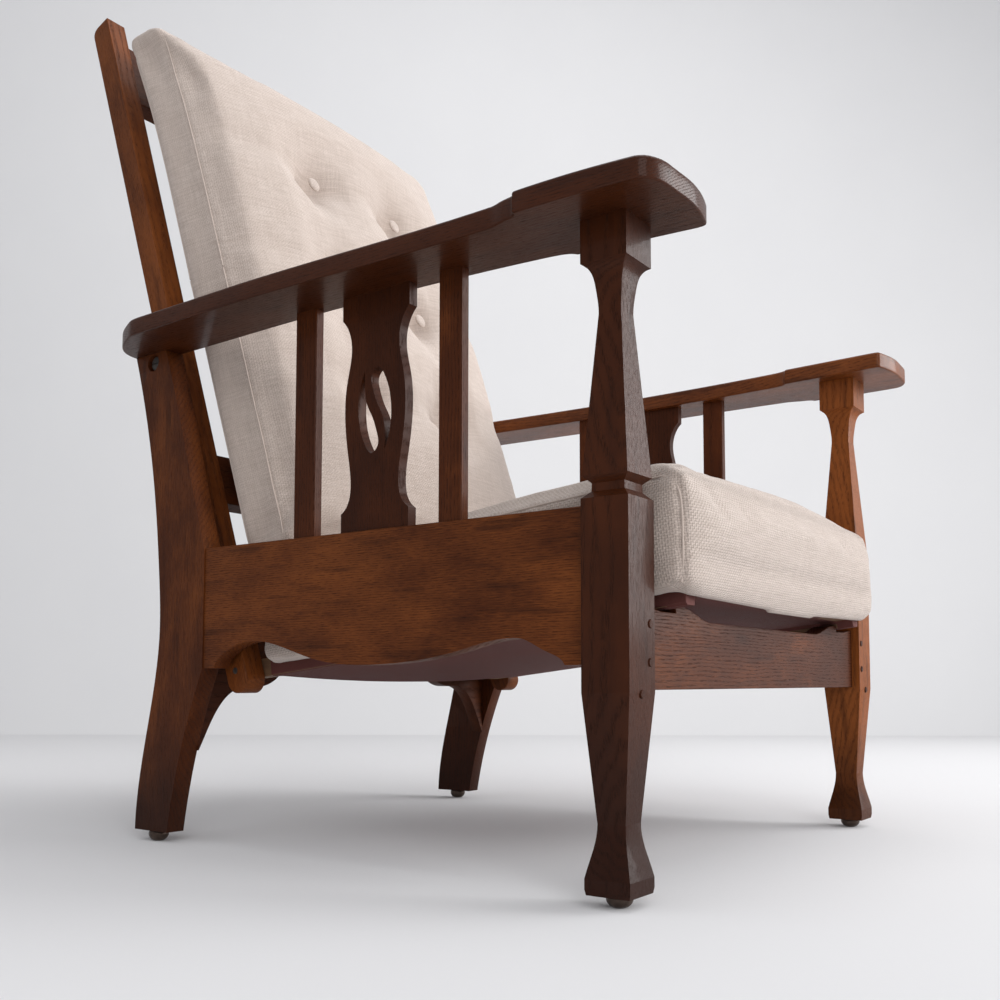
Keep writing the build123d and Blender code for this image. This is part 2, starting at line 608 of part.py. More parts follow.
def crown_at(x, half, rise):
    radius = crown_radius(half, rise)
    return math.sqrt(radius * radius - x * x) - (radius - rise)


def section(plane, half, low, high, low_crown, high_crown, corner):
    span = half - corner
    top_left, top_right = (-span, high), (span, high)
    low_left, low_right = (-span, low), (span, low)
    edges = [ThreePointArc(top_left, (0, high + high_crown), top_right),
             ThreePointArc(low_left, (0, low - low_crown), low_right)]
    bend = corner * (1 - math.sqrt(0.5))
    for sign in (1, -1):
        mid = sign * (half - bend)
        edges.append(ThreePointArc((sign * span, high), (mid, high - bend), (sign * half, high - corner)))
        edges.append(ThreePointArc((sign * span, low), (mid, low + bend), (sign * half, low + corner)))
        edges.append(Line((sign * half, high - corner), (sign * half, low + corner)))
    return plane * make_face(edges)


def seat_cushion():
    half = SEAT_CUSHION_WIDTH / 2
    rear, front = REAR_MEMBER_START, SEAT_CUSHION_FRONT
    length = front - rear
    corner = CUSHION_ROUND
    crown = SEAT_CUSHION_CROWN

    def at(y_share, inset, edge_share, crown_share, facing=(0, -1, 0)):
        plane = Plane(origin=(0, -(rear + length * y_share), 0), x_dir=(1, 0, 0), z_dir=facing)
        return section(plane, half - inset, inset, SEAT_CUSHION_EDGE * edge_share - inset, corner / 20,
                       crown * crown_share, corner)

    corner_share = corner / length
    level = (0, -SLOPE_COSINE, -SLOPE_SINE)
    rear_end = at(corner_share, 0, SEAT_REAR_EDGE_SHARE, 0.2)
    front_end = at(1 - corner_share, 0, 0.98, 0.6, level)
    body = loft([rear_end, at(0.28, 0, 0.94, 0.65), at(0.55, 0, 1, 1), at(0.8, 0, 1, 0.95), front_end])
    body += loft([at(0, corner * 0.7, SEAT_REAR_EDGE_SHARE, 0.15), rear_end], ruled=True)
    body += loft([front_end, at(1, corner * 0.7, 0.98, 0.45, level)], ruled=True)
    pocket_half = RUNNER_OUTER + CLOTH_THICKNESS + CUSHION_REST_GAP
    pocket_top = RUNNER_ABOVE + WEB_THICKNESS * 2 + CUSHION_REST_GAP
    pocket_front = -(SEAT_REACH + CLOTH_THICKNESS + CUSHION_REST_GAP)
    body -= block((-pocket_half, pocket_half), (pocket_front, SEAT_REACH), (-SEAT_CUSHION_EDGE, pocket_top))
    lip_half = half - corner
    hem = -SEAT_CUSHION_HEM
    lip = face_of(straight((-lip_half, hem), (-lip_half, corner * 2), (lip_half, corner * 2), (lip_half, hem)),
                  [ThreePointArc((-lip_half, hem), (0, -SEAT_CUSHION_DROOP), (lip_half, hem))])
    body += along_y(lip, -(front - corner * 0.3), front - corner * 0.3 + pocket_front)
    return body


def tuft_centres():
    offsets = [index - (BUTTON_ROWS - 1) / 2 for index in range(BUTTON_ROWS)]
    rows = [BUTTON_ROW_MIDDLE + BUTTON_ROW_SPACING * offset for offset in offsets]
    return [(sign * BUTTON_SPACING / 2, height) for height in rows for sign in (1, -1)]


def back_section(height, inset, front_share, rear_share):
    half = BACK_CUSHION_WIDTH / 2 - inset
    plane = Plane(origin=(0, 0, height), x_dir=(1, 0, 0), z_dir=(0, 0, -1))
    front, rear = BACK_CUSHION_SEAM_FRONT - inset / 2, BACK_CUSHION_SEAM_REAR + inset / 2
    rear_rise = BACK_CUSHION_SEAM_REAR - STILE_DEPTH / 2 + BACK_RAIL_SETBACK - CUSHION_REST_GAP
    return section(plane, half, rear, front, rear_rise * rear_share, BACK_CUSHION_FRONT_CROWN * front_share,
                   CUSHION_ROUND)


def seat_cushion_corner():
    top = SEAT_CUSHION_EDGE * SEAT_REAR_EDGE_SHARE
    y = LINK_SETBACK - REAR_MEMBER_START * SLOPE_COSINE + top * SLOPE_SINE
    z = LINK_HEIGHT + REAR_MEMBER_START * SLOPE_SINE + top * SLOPE_COSINE
    lean = math.radians(BACK_LEAN)
    return (y - PIVOT_SETBACK) * math.sin(lean) + (z - PIVOT_HEIGHT) * math.cos(lean)


def back_cushion():
    low = seat_cushion_corner() + BACK_CUSHION_PLAY
    high = low + BACK_CUSHION_HEIGHT
    corner = CUSHION_ROUND
    rows = sorted({height for _, height in tuft_centres()})
    rail_middle = LOWER_RAIL_BASE + LOWER_RAIL_DEPTH / 2
    inner = [(low + corner, 0, 0.35, 0.35), (rail_middle, 0, 0.8, 0.987)]
    inner += [(row, 0, 1, 0.98) for row in rows] + [(high - corner, 0, 0.3, 0.35)]
    body = loft([back_section(*row) for row in inner])
    body += loft([back_section(low, corner * 0.7, 0.25, 0.2), back_section(*inner[0])], ruled=True)
    body += loft([back_section(*inner[-1]), back_section(high, corner * 0.7, 0.2, 0.2)], ruled=True)
    buttons = []
    surface = BACK_CUSHION_SEAM_FRONT + crown_at(BUTTON_SPACING / 2, BACK_CUSHION_WIDTH / 2 - CUSHION_ROUND,
                                                 BACK_CUSHION_FRONT_CROWN)
    radius = BUTTON_DIAMETER / 2
    rim = TUFT_RADIUS - math.sqrt(TUFT_RADIUS ** 2 - radius ** 2)
    for x, height in tuft_centres():
        floor = -(surface - TUFT_DEPTH)
        body -= Pos(x, floor - TUFT_RADIUS, height) * Sphere(TUFT_RADIUS)
        disc = Pos(x, floor - rim - CUSHION_REST_GAP - BUTTON_HEIGHT / 2, height) * Rot(90, 0, 0) * Cylinder(
            radius, BUTTON_HEIGHT)
        buttons.append(chamfer(disc.edges().sort_by(Axis.Y)[0], BUTTON_HEIGHT / 2, radius / 3))
    return body, buttons


# Assembly of the named pieces.
nodes = {}


def add(name, *shapes):
    nodes[name] = list(shapes)


def add_pair(name, shape):
    add("left_" + name, shape)
    add("right_" + name, other_side(shape))


bolt, washer, nut, leg_cuts, stile_cut = pivot_hardware()
rail = front_rail()
rear_board = rear_rail()
place_post = Pos(-POST_SPACING / 2, 0, 0)

post = place_post * (front_post() + post_tenon())
arm = side_frame(arm_board())
arm -= place_post * post_tenon(MORTISE_ROOM)
leg = side_frame(rear_leg() + leg_tenon())
arm -= side_frame(leg_tenon(MORTISE_ROOM))

side = side_frame(side_rail())
post_inner = block((-POST_SPACING, 0), (-POST_WIDTH, POST_WIDTH / 2), (0, ARM_UNDERSIDE))
side -= post_inner
for direction, face in ((-1, POST_WIDTH / 2), (1, LEG_SETBACK)):
    tenon = side_frame(rail_tenon(face, direction))
    mortise = side_frame(rail_tenon(face, direction, MORTISE_ROOM))
    side += tenon
    if direction < 0:
        post -= mortise
    else:
        leg -= mortise

for name, width, centre in (("rear_slat", REAR_SLAT_WIDTH, REAR_SLAT_CENTRE),
                            ("front_slat", FRONT_SLAT_WIDTH, FRONT_SLAT_CENTRE),
                            ("splat", SPLAT_WIDTH, SPLAT_CENTRE)):
    bar = splat_board() if name == "splat" else upright(width, centre)
    for tenon in upright_tenons(width, centre):
        bar += tenon
    for mortise in upright_tenons(width, centre, MORTISE_ROOM):
        side -= side_frame(mortise)
        arm -= side_frame(mortise)
    add_pair(name, side_frame(bar))

for tenon, mortise in zip(front_rail_tenons(), front_rail_tenons(MORTISE_ROOM)):
    rail += tenon
    post -= mortise
for tenon, mortise in zip(rear_rail_tenons(), rear_rail_tenons(MORTISE_ROOM)):
    rear_board += tenon
    leg -= mortise
for cut in leg_cuts:
    leg -= cut

peg_shares = [(0.65, 0.887), (0.63, 0.37), (-0.05, -0.05)]
pegs = []
for width_share, height_share in peg_shares:
    x = -POST_SPACING / 2 + POST_WIDTH / 2 * width_share
    z = FRONT_RAIL_BOTTOM + (FRONT_RAIL_TOP - FRONT_RAIL_BOTTOM) * height_share
    start = -POST_WIDTH / 2 - PEG_PROUD
    peg = Pos(x, start + PEG_LENGTH / 2, z) * Rot(90, 0, 0) * Cylinder(PEG_DIAMETER / 2, PEG_LENGTH)
    peg = chamfer(peg.edges().sort_by(Axis.Y)[0], PEG_PROUD * 0.6)
    pegs.append(peg)
    hole = Pos(x, start + PEG_LENGTH / 2 + PIN_CLEARANCE, z) * Rot(90, 0, 0) * Cylinder(
        PEG_DIAMETER / 2 + PIN_CLEARANCE, PEG_LENGTH)
    post -= hole
    rail -= hole
    rail -= other_side(hole)

add_pair("front_post", post)
add_pair("rear_leg", leg)
add_pair("side_rail", side)
add_pair("arm", arm)
add("front_rail", rail)
add("rear_rail", rear_board)
add("rail_pegs", *pegs, *[other_side(peg) for peg in pegs])

front_glide = place_post * glide(GLIDE_HEIGHT, GLIDE_DIAMETER)
rear_glide = side_frame(Pos(0, LEG_GLIDE_SETBACK, 0) * glide(LEG_GLIDE_HEIGHT, GLIDE_DIAMETER))
add("floor_glides", front_glide, rear_glide, other_side(front_glide), other_side(rear_glide))
add("pivot_bolts", bolt, other_side(bolt))
add("pivot_washers", washer, other_side(washer))
add("pivot_nuts", nut, other_side(nut))

# Back.
pin_bore = BOLT_DIAMETER + PIN_CLEARANCE * 2
upright_stile = stile() - stile_cut
link_cut = rod_x(pin_bore, -STILE_SPACING, 0, 0, -LINK_DROP)
upright_stile -= link_cut
top_bar = back_rail(TOP_RAIL_BASE, TOP_RAIL_DEPTH)
lower_bar = back_rail(LOWER_RAIL_BASE, LOWER_RAIL_DEPTH)
for base, depth in ((TOP_RAIL_BASE, TOP_RAIL_DEPTH), (LOWER_RAIL_BASE, LOWER_RAIL_DEPTH)):
    for tenon, mortise in zip(back_rail_tenons(base, depth), back_rail_tenons(base, depth, MORTISE_ROOM)):
        if base == TOP_RAIL_BASE:
            top_bar += tenon
        else:
            lower_bar += tenon
        upright_stile -= mortise
for index in range(BACK_SLAT_COUNT):
    slat = back_slat(index) + back_slat(index, tenon=True)
    mortise = back_slat(index, MORTISE_ROOM, tenon=True)
    top_bar -= mortise
    lower_bar -= mortise
    add("back_slat_" + str(index + 1), back_place(slat))
add_pair("stile", back_place(upright_stile))
add("top_rail", back_place(top_bar))
add("lower_rail", back_place(lower_bar))
cushion, buttons = back_cushion()
add("back_cushion", back_place(cushion))
add("cushion_buttons", *[back_place(button) for button in buttons])
pin = link_pin()
add("link_pins", pin, other_side(pin))

# Seat.
runner_bar = runner() - rod_x(pin_bore, -STILE_SPACING, 0, 0, 0)
add_pair("runner", seat_place(runner_bar))
outer = RUNNER_OUTER
front_member = block((-outer, outer), (-SEAT_REACH, -SEAT_REACH + MEMBER_THICKNESS), (0, RUNNER_ABOVE))
inner = outer - RUNNER_WIDTH
rear_member = block((-inner, inner), (-REAR_MEMBER_START - MEMBER_THICKNESS, -REAR_MEMBER_START),
                    (-RUNNER_BELOW + CLOTH_THICKNESS + REAR_MEMBER_LIFT, RUNNER_ABOVE))
add("seat_front_member", seat_place(front_member))
add("seat_rear_member", seat_place(rear_member))
add("seat_webbing", *[seat_place(strap) for strap in webbing()])
add("seat_cover_cloth", *[seat_place(piece) for piece in cover_cloth()])
add("seat_cushion", seat_place(seat_cushion()))

solids = [shape for shapes in nodes.values() for shape in shapes]
boxes = [shape.bounding_box() for shape in solids]
front_y, rear_y = min(box.min.Y for box in boxes), max(box.max.Y for box in boxes)
centre_y = (front_y + rear_y) / 2
os.makedirs("parts", exist_ok=True)
for name, shapes in nodes.items():
    moved = [Pos(0, -centre_y, 0) * shape for shape in shapes]
    node = moved[0] if len(moved) == 1 else Compound(children=moved)
    export_step(node, "parts/" + name + ".step")
print("shift", round(-centre_y, 3), "pivot", round(PIVOT_SETBACK - centre_y, 3), PIVOT_HEIGHT)
print("link", round(LINK_SETBACK - centre_y, 3), round(LINK_HEIGHT, 3))
print("height", max(box.max.Z for box in boxes), "floor", min(box.min.Z for box in boxes))
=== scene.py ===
import math

import bmesh
import bpy
import numpy as np
from mathutils import Matrix, Vector, noise
from mathutils.bvhtree import BVHTree


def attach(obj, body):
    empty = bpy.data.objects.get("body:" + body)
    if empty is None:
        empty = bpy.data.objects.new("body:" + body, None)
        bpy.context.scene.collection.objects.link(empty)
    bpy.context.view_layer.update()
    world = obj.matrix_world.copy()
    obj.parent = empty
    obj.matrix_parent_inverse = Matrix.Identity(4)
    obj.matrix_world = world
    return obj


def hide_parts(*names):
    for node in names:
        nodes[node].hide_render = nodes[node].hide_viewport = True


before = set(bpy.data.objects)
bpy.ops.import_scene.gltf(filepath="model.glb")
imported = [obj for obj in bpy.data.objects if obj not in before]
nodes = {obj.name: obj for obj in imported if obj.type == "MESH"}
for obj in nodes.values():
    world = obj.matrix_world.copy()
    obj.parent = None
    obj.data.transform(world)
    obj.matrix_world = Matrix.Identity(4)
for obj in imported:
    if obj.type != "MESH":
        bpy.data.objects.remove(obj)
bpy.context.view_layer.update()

scene = bpy.context.scene

# Oak side frames: square posts cut to a waist above and below the seat, curved
# sawn legs, deep shaped rails and broad arms. Fumed dark, waxed and worn, with
# open pores that run with the grain, growth rings on each board and dark feet.


class Tone:
    """A number or colour that comes out of a finish's node; sums on it add their Math nodes."""

    def __init__(self, finish, socket):
        self.finish = finish
        self.socket = socket

    def __add__(self, other):
        return self.finish.maths("ADD", self, other)

    def __sub__(self, other):
        return self.finish.maths("SUBTRACT", self, other)

    def __rsub__(self, other):
        return self.finish.maths("SUBTRACT", other, self)

    def __mul__(self, other):
        return self.finish.maths("MULTIPLY", self, other)

    __radd__ = __add__
    __rmul__ = __mul__


class Finish:
    """One material; a node is added by its type, its settings and its sockets' values or links."""

    def __init__(self, name):
        self.material = bpy.data.materials.new(name)
        self.material.use_nodes = True
        self.tree = self.material.node_tree
        self.shader = self.tree.nodes["Principled BSDF"]

    def node(self, kind, settings=None, sockets=None, out=0):
        made = self.tree.nodes.new(kind)
        for key, value in (settings or {}).items():
            setattr(made, key, value)
        self.fill(made, sockets or {})
        return Tone(self, made.outputs[out])

    def fill(self, made, sockets):
        for key, value in sockets.items():
            if isinstance(value, Tone):
                self.tree.links.new(value.socket, made.inputs[key])
            else:
                made.inputs[key].default_value = value

    def maths(self, operation, *values):
        return self.node("ShaderNodeMath", {"operation": operation}, dict(enumerate(values)))

    def mix(self, share, first, second):
        sockets = {0: share, 6: first, 7: second}
        return self.node("ShaderNodeMix", {"data_type": "RGBA"}, sockets, out=2)

    def between(self, value, low, high):
        sockets = {"Value": value, "From Min": low, "From Max": high}
        return self.node("ShaderNodeMapRange", {}, sockets)

    def place(self):
        return self.node("ShaderNodeTexCoord", out="Object")

    def axis(self, vector, letter):
        return self.node("ShaderNodeSeparateXYZ", {}, {0: vector}, out=letter)

    def stretch(self, vector, along):
        sockets = {0: vector, 1: along}
        return self.node("ShaderNodeVectorMath", {"operation": "MULTIPLY"}, sockets)

    def board(self, place, grain, shift=(0.0, 0.0, 0.0)):
        """The place turned so that z runs with the grain, and shifted so that boards differ."""
        sockets = {"Vector": place, "Rotation": grain, "Location": shift}
        return self.node("ShaderNodeMapping", {}, sockets)

    def cloud(self, vector, scale, detail=2.0, roughness=0.5):
        sockets = {"Vector": vector, "Scale": scale, "Detail": detail, "Roughness": roughness}
        return self.node("ShaderNodeTexNoise", {}, sockets)

    def threads(self, vector, direction, scale, distortion):
        sockets = {"Vector": vector, "Scale": scale, "Distortion": distortion}
        return self.node("ShaderNodeTexWave", {"bands_direction": direction}, sockets)

    def surface(self, **sockets):
        self.fill(self.shader, {key.replace("_", " "): value for key, value in sockets.items()})

    def raised(self, height, distance):
        bump = self.node("ShaderNodeBump", {}, {"Height": height, "Distance": distance})
        self.fill(self.shader, {"Normal": bump})


UP = (0.0, 0.0, 0.0)
REARWARD = (math.radians(90), 0.0, 0.0)
ACROSS = (0.0, math.radians(-90), 0.0)
OAK_DEEP = (0.022, 0.0056, 0.0022, 1)
OAK_BROWN = (0.122, 0.03, 0.007, 1)
OAK_WARM = (0.33, 0.098, 0.021, 1)
OAK_PORE = (0.012, 0.0045, 0.0025, 1)
RING_SCALE = 125.0
FIBRE_SCALE = 1900.0
PORE_SCALE = 1700.0
EVEN_ABOVE = 0.13
DARK_BELOW = 0.015


def oak(name, grain, shift, warmth=0.5, gloss=0.4, coat=0.05):
    """Oak with its grain along one axis; more warmth turns it from fumed black to golden brown."""
    wood = Finish(name)
    place = wood.place()
    board = wood.board(place, grain, shift)

    def drawn_out(length, scale, detail, roughness=0.5):
        return wood.cloud(wood.stretch(board, (1, 1, length)), scale, detail, roughness)

    patches = drawn_out(0.5, scale=13.0, detail=5.0, roughness=0.6)
    rings = wood.node("ShaderNodeTexWave", {"wave_type": "RINGS", "rings_direction": "Z"},
                      {"Vector": wood.stretch(board, (1, 1, 0.16)), "Scale": RING_SCALE,
                       "Distortion": 7.0, "Detail": 3.0, "Detail Scale": 0.45})
    fibres = drawn_out(0.03, FIBRE_SCALE, detail=2.0)
    dashes = wood.between(drawn_out(0.07, PORE_SCALE, detail=2.0, roughness=0.55), 0.46, 0.6)
    pores = wood.between(rings, 0.35, 0.9) * dashes
    grime = wood.between(wood.cloud(board, scale=12.0, detail=4.0, roughness=0.62), 0.5, 0.8)
    streaks = wood.between(drawn_out(0.12, scale=85.0, detail=3.0), 0.56, 0.72)
    height = wood.axis(place, "Z")
    # Below a set height every board grows darker towards the floor, along a wavering edge.
    darker_low = wood.between(height - grime * 0.035 - patches * 0.03, EVEN_ABOVE, DARK_BELOW)
    tone = wood.between(patches * 0.8 + warmth * 0.7, 0.32, 1.2)
    colour = wood.mix(tone, OAK_DEEP, OAK_BROWN)
    colour = wood.mix(wood.between(tone + fibres * 0.5, 0.78, 1.6), colour, OAK_WARM)
    for share in (grime * 0.24, streaks * 0.5, darker_low * 0.8):
        colour = wood.mix(share, colour, OAK_DEEP)
    colour = wood.mix(pores * 0.55, colour, OAK_PORE)
    wood.surface(Base_Color=colour, Roughness=gloss + pores * 0.2 + fibres * 0.15,
                 Coat_Weight=coat - pores * coat, Coat_Roughness=0.13, Specular_IOR_Level=0.09)
    wood.raised(fibres * 0.3 - pores * 0.6, distance=0.0002)
    return wood.material


WELD_REACH = 0.00002
CORNER_ANGLE = math.radians(32)
BROAD_EASE = 0.002
POST_EASE = 0.0009
RAIL_EASE = 0.0007
ARM_EASE = 0.003


def dress(name, material, ease=0.0):
    """Gives a node its finish and, where hands have worn it, eased corners."""
    piece = nodes[name]
    piece.data.materials.clear()
    piece.data.materials.append(material)
    if ease:
        weld = piece.modifiers.new("weld", "WELD")
        weld.merge_threshold = WELD_REACH
        round_over = piece.modifiers.new("worn edge", "BEVEL")
        round_over.width = ease
        round_over.segments = 3 if ease > BROAD_EASE else 2
        round_over.limit_method = "ANGLE"
        round_over.angle_limit = CORNER_ANGLE
        round_over.harden_normals = False


def oak_piece(name, board, grain, shift, ease=0.0, **looks):
    dress(name, oak(board, grain, shift, **looks), ease)


oak_piece("left_front_post", "left post oak", UP, (0.11, 0.43, 0.2), POST_EASE,
          warmth=0.2, gloss=0.34, coat=0.1)
oak_piece("right_front_post", "right post oak", UP, (0.3, 0.21, 0.7), POST_EASE, warmth=1.15)
oak_piece("left_rear_leg", "left leg oak", UP, (0.02, 0.6, 0.5), POST_EASE, warmth=0.6)
oak_piece("right_rear_leg", "right leg oak", UP, (0.4, 0.1, 0.9), POST_EASE, warmth=0.4)
oak_piece("left_side_rail", "left rail oak", REARWARD, (0.36, 0.1, 0.15), RAIL_EASE, warmth=0.72)
oak_piece("right_side_rail", "right rail oak", REARWARD, (0.12, 0.5, 0.35), RAIL_EASE, warmth=0.6)
for side, move in (("left", 0.0), ("right", 0.4)):
    for part, label, shift, warmth in (
            ("_front_slat", " front slat oak", (0.2 + move, 0.31, 0.1), 0.5),
            ("_rear_slat", " rear slat oak", (0.52 + move, 0.12, 0.6), 0.45),
            ("_splat", " splat oak", (0.31 + move, 0.72, 0.4), 0.25)):
        oak_piece(side + part, side + label, UP, shift, warmth=warmth)
oak_piece("left_arm", "left arm oak", REARWARD, (0.18, 0.33, 0.61), ARM_EASE,
          warmth=0.3, gloss=0.3, coat=0.2)
oak_piece("right_arm", "right arm oak", REARWARD, (0.48, 0.13, 0.21), ARM_EASE,
          warmth=0.75, gloss=0.3, coat=0.2)

# Rails that tie the side frames together, with the pegs through the front
# joints. The front rail is dished between two crests that guide the seat.
oak_piece("front_rail", "front rail oak", ACROSS, (0.1, 0.27, 0.44), RAIL_EASE, warmth=0.45)
oak_piece("rear_rail", "rear rail oak", ACROSS, (0.33, 0.52, 0.14), RAIL_EASE, warmth=0.4)
oak_piece("rail_pegs", "peg oak", REARWARD, (0.7, 0.2, 0.3), warmth=0.15)


# Iron fittings: domed glides under the feet and the bolts, washers and nuts of
# the back's pivots and the seat's links. Once bright, now dull and spotted.
def iron(name, colour, roughness):
    metal = Finish(name)
    spots = metal.cloud(metal.place(), scale=140.0, detail=4.0, roughness=0.65)
    bloom = metal.between(spots, 0.45, 0.7)
    metal.surface(Base_Color=metal.mix(bloom, colour, (0.09, 0.06, 0.045, 1)),
                  Metallic=1.0 - bloom * 0.45, Roughness=bloom * 0.3 + roughness)
    metal.raised(bloom, distance=0.0002)
    return metal.material


dark_iron = iron("dark iron", (0.1, 0.095, 0.09, 1), roughness=0.42)
worn_steel = iron("worn steel", (0.075, 0.055, 0.045, 1), roughness=0.3)
for fitting in ("pivot_bolts", "pivot_washers", "pivot_nuts", "link_pins"):
    dress(fitting, dark_iron)
dress("floor_glides", worn_steel)

# Back frame: two long stiles that turn on the pivot bolts, with a top rail, a
# lower rail and five slats between them, all leaning together.
BACK_LEAN = math.radians(18.6)
LEANING = (BACK_LEAN, 0.0, 0.0)
oak_piece("left_stile", "left stile oak", LEANING, (0.15, 0.44, 0.8), POST_EASE, warmth=0.85)
oak_piece("right_stile", "right stile oak", LEANING, (0.55, 0.24, 0.3), POST_EASE, warmth=0.8)
oak_piece("top_rail", "top rail oak", ACROSS, (0.25, 0.61, 0.34))
oak_piece("lower_rail", "lower rail oak", ACROSS, (0.62, 0.35, 0.5))
for number in range(1, 6):
    shift = (0.13 * number, 0.07 * number + 0.2, 0.31 * number)
    oak_piece("back_slat_%d" % number, "back slat oak %d" % number, LEANING, shift, warmth=0.55)


# Seat frame: plain sawn runners and cross members that hardly show, and
# crossed bands of jute webbing tacked to their tops.
def sawn_wood(name, grain):
    wood = Finish(name)
    board = wood.board(wood.place(), grain)
    lines = wood.cloud(wood.stretch(board, (1, 1, 0.04)), scale=260.0, detail=3.0)
    saw = wood.cloud(wood.stretch(board, (0.1, 0.1, 1)), scale=420.0, detail=1.0)
    wood.surface(Base_Color=wood.mix(lines, (0.09, 0.045, 0.022, 1), (0.24, 0.13, 0.065, 1)),
                 Roughness=lines * 0.2 + 0.6)
    wood.raised(lines * 0.6 + saw * 0.5, distance=0.0004)
    return wood.material


runner_wood = sawn_wood("runner wood", REARWARD)
member_wood = sawn_wood("member wood", ACROSS)
for name, material in (("left_runner", runner_wood), ("right_runner", runner_wood),
                       ("seat_front_member", member_wood), ("seat_rear_member", member_wood)):
    dress(name, material)

SEAT_SLOPE = math.radians(6.8)
LINK_PIN = Vector((0.0, 0.148519, 0.20934))
FRAME_HALF = 0.2575
FRAME_REACH = 0.581
FRAME_TOP = 0.013
REAR_MEMBER = 0.038
QUARTER_TURN = math.radians(90)
seat_place = Matrix.Translation(LINK_PIN) @ Matrix.Rotation(-SEAT_SLOPE, 4, "X")


def finished(name, mesh, place, material, body):
    """Puts a bmesh in its place in the shared frame and makes it a piece at the origin."""
    bmesh.ops.transform(mesh, matrix=place, verts=mesh.verts)
    data = bpy.data.meshes.new(name)
    mesh.to_mesh(data)
    mesh.free()
    piece = bpy.data.objects.new(name, data)
    scene.collection.objects.link(piece)
    data.materials.append(material)
    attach(piece, body)
    return piece


def thickened(piece, thickness):
    skin = piece.modifiers.new("thickness", "SOLIDIFY")
    skin.thickness = thickness
    skin.offset = 0.0


def jute():
    cloth = Finish("jute webbing")
    place = cloth.place()
    rows = cloth.threads(place, "Y", scale=110.0, distortion=0.6)
    ends = cloth.threads(place, "X", scale=150.0, distortion=0.6)
    weave = rows * 0.5 + ends * 0.5
    cloth.surface(Base_Color=cloth.mix(weave, (0.2, 0.13, 0.07, 1), (0.46, 0.34, 0.21, 1)),
                  Roughness=0.92)
    cloth.raised(weave, distance=0.0008)
    return cloth.material


WEB_WIDTH = 0.05
WEB_MIDDLE = 0.0016
WEB_RISE = 0.0011
CROSSING = 0.035
CROSS_WEBS = 4
LONG_WEBS = 5
OUTER_WEB_INSET = 0.02
TACKED_SHORT = 0.004


def web(mesh, length, turn, middle, crossing, under_first):
    """A band of webbing, turned about z and moved, that goes over and under those across it."""
    made = bmesh.ops.create_grid(mesh, x_segments=4, y_segments=48, size=0.5)["verts"]
    bmesh.ops.scale(mesh, vec=(WEB_WIDTH, length, 1), verts=made)
    bmesh.ops.rotate(mesh, verts=made, matrix=Matrix.Rotation(turn, 3, "Z"))
    for vert in made:
        vert.co += Vector(middle)
        place = vert.co.x if turn else vert.co.y
        near = min(range(len(crossing)), key=lambda index: abs(crossing[index] - place))
        rise = math.exp(-((place - crossing[near]) / CROSSING) ** 2)
        vert.co.z += WEB_MIDDLE + WEB_RISE * rise * (1 if (near + under_first) % 2 else -1)


webs = bmesh.new()
first, last = REAR_MEMBER + OUTER_WEB_INSET, FRAME_REACH - OUTER_WEB_INSET
cross_lines = [-(first + (last - first) * (index + 0.5) / CROSS_WEBS)
               for index in range(CROSS_WEBS)]
long_lines = [FRAME_HALF * 2 * ((index + 0.5) / LONG_WEBS - 0.5) for index in range(LONG_WEBS)]
for index, line in enumerate(long_lines):
    web(webs, FRAME_REACH - REAR_MEMBER - TACKED_SHORT, 0.0,
        (line, -(FRAME_REACH + REAR_MEMBER) / 2, FRAME_TOP), cross_lines, index)
for index, line in enumerate(cross_lines):
    web(webs, FRAME_HALF * 2 - TACKED_SHORT, QUARTER_TURN,
        (0, line, FRAME_TOP), long_lines, index + 1)
webbing = finished("jute_webbing", webs, seat_place, jute(), "seat")
thickened(webbing, 0.0012)
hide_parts("seat_webbing")

# Base cloth: one piece of dark red-brown cloth wrapped round the seat frame's
# sides and front and stretched below it, where it sags a little. It is tacked
# along the tops of the runners and of the front member.
CLOTH_SIDE = 0.2583
RUNNER_INNER = 0.2375
RUNNER_BOTTOM = -0.0096
CLOTH_SAG = 0.007
CLOTH_START = 0.03
CLOTH_RISE = 0.438
CLOTH_RISE_LENGTH = 0.012
CLOTH_UNDER_FRONT = 0.0004
CLOTH_OFF_FRONT = 0.0009
CLOTH_TURN_UP = 0.0013
CLOTH_RIPPLE = 0.0006
RIPPLE_SCALE = 9
RIPPLE_SEED = 4.1
CORNER_TUCK = 0.4


def base_cloth():
    cloth = Finish("base cloth")
    place = cloth.place()
    warp = cloth.threads(place, "X", scale=420.0, distortion=0.8)
    weft = cloth.threads(place, "Y", scale=420.0, distortion=0.8)
    dust = cloth.cloud(place, scale=11.0, detail=4.0, roughness=0.6)
    cloth.surface(Base_Color=cloth.mix(dust, (0.10, 0.031, 0.026, 1), (0.15, 0.05, 0.042, 1)),
                  Roughness=dust * 0.2 + 0.62, Specular_IOR_Level=0.2)
    cloth.raised(warp * 0.5 + weft * 0.5, distance=0.0003)
    return cloth.material


def cloth_line(share):
    """The cloth's line across the seat: over the sag, under the runner and up the side."""
    run = abs(share) * (CLOTH_SIDE + FRAME_TOP - RUNNER_BOTTOM)
    if run <= RUNNER_INNER:
        sag = CLOTH_SAG * (1 - (run / RUNNER_INNER) ** 2)
        return math.copysign(run, share), RUNNER_BOTTOM - sag
    if run <= CLOTH_SIDE:
        return math.copysign(run, share), RUNNER_BOTTOM
    return math.copysign(CLOTH_SIDE, share), RUNNER_BOTTOM + run - CLOTH_SIDE


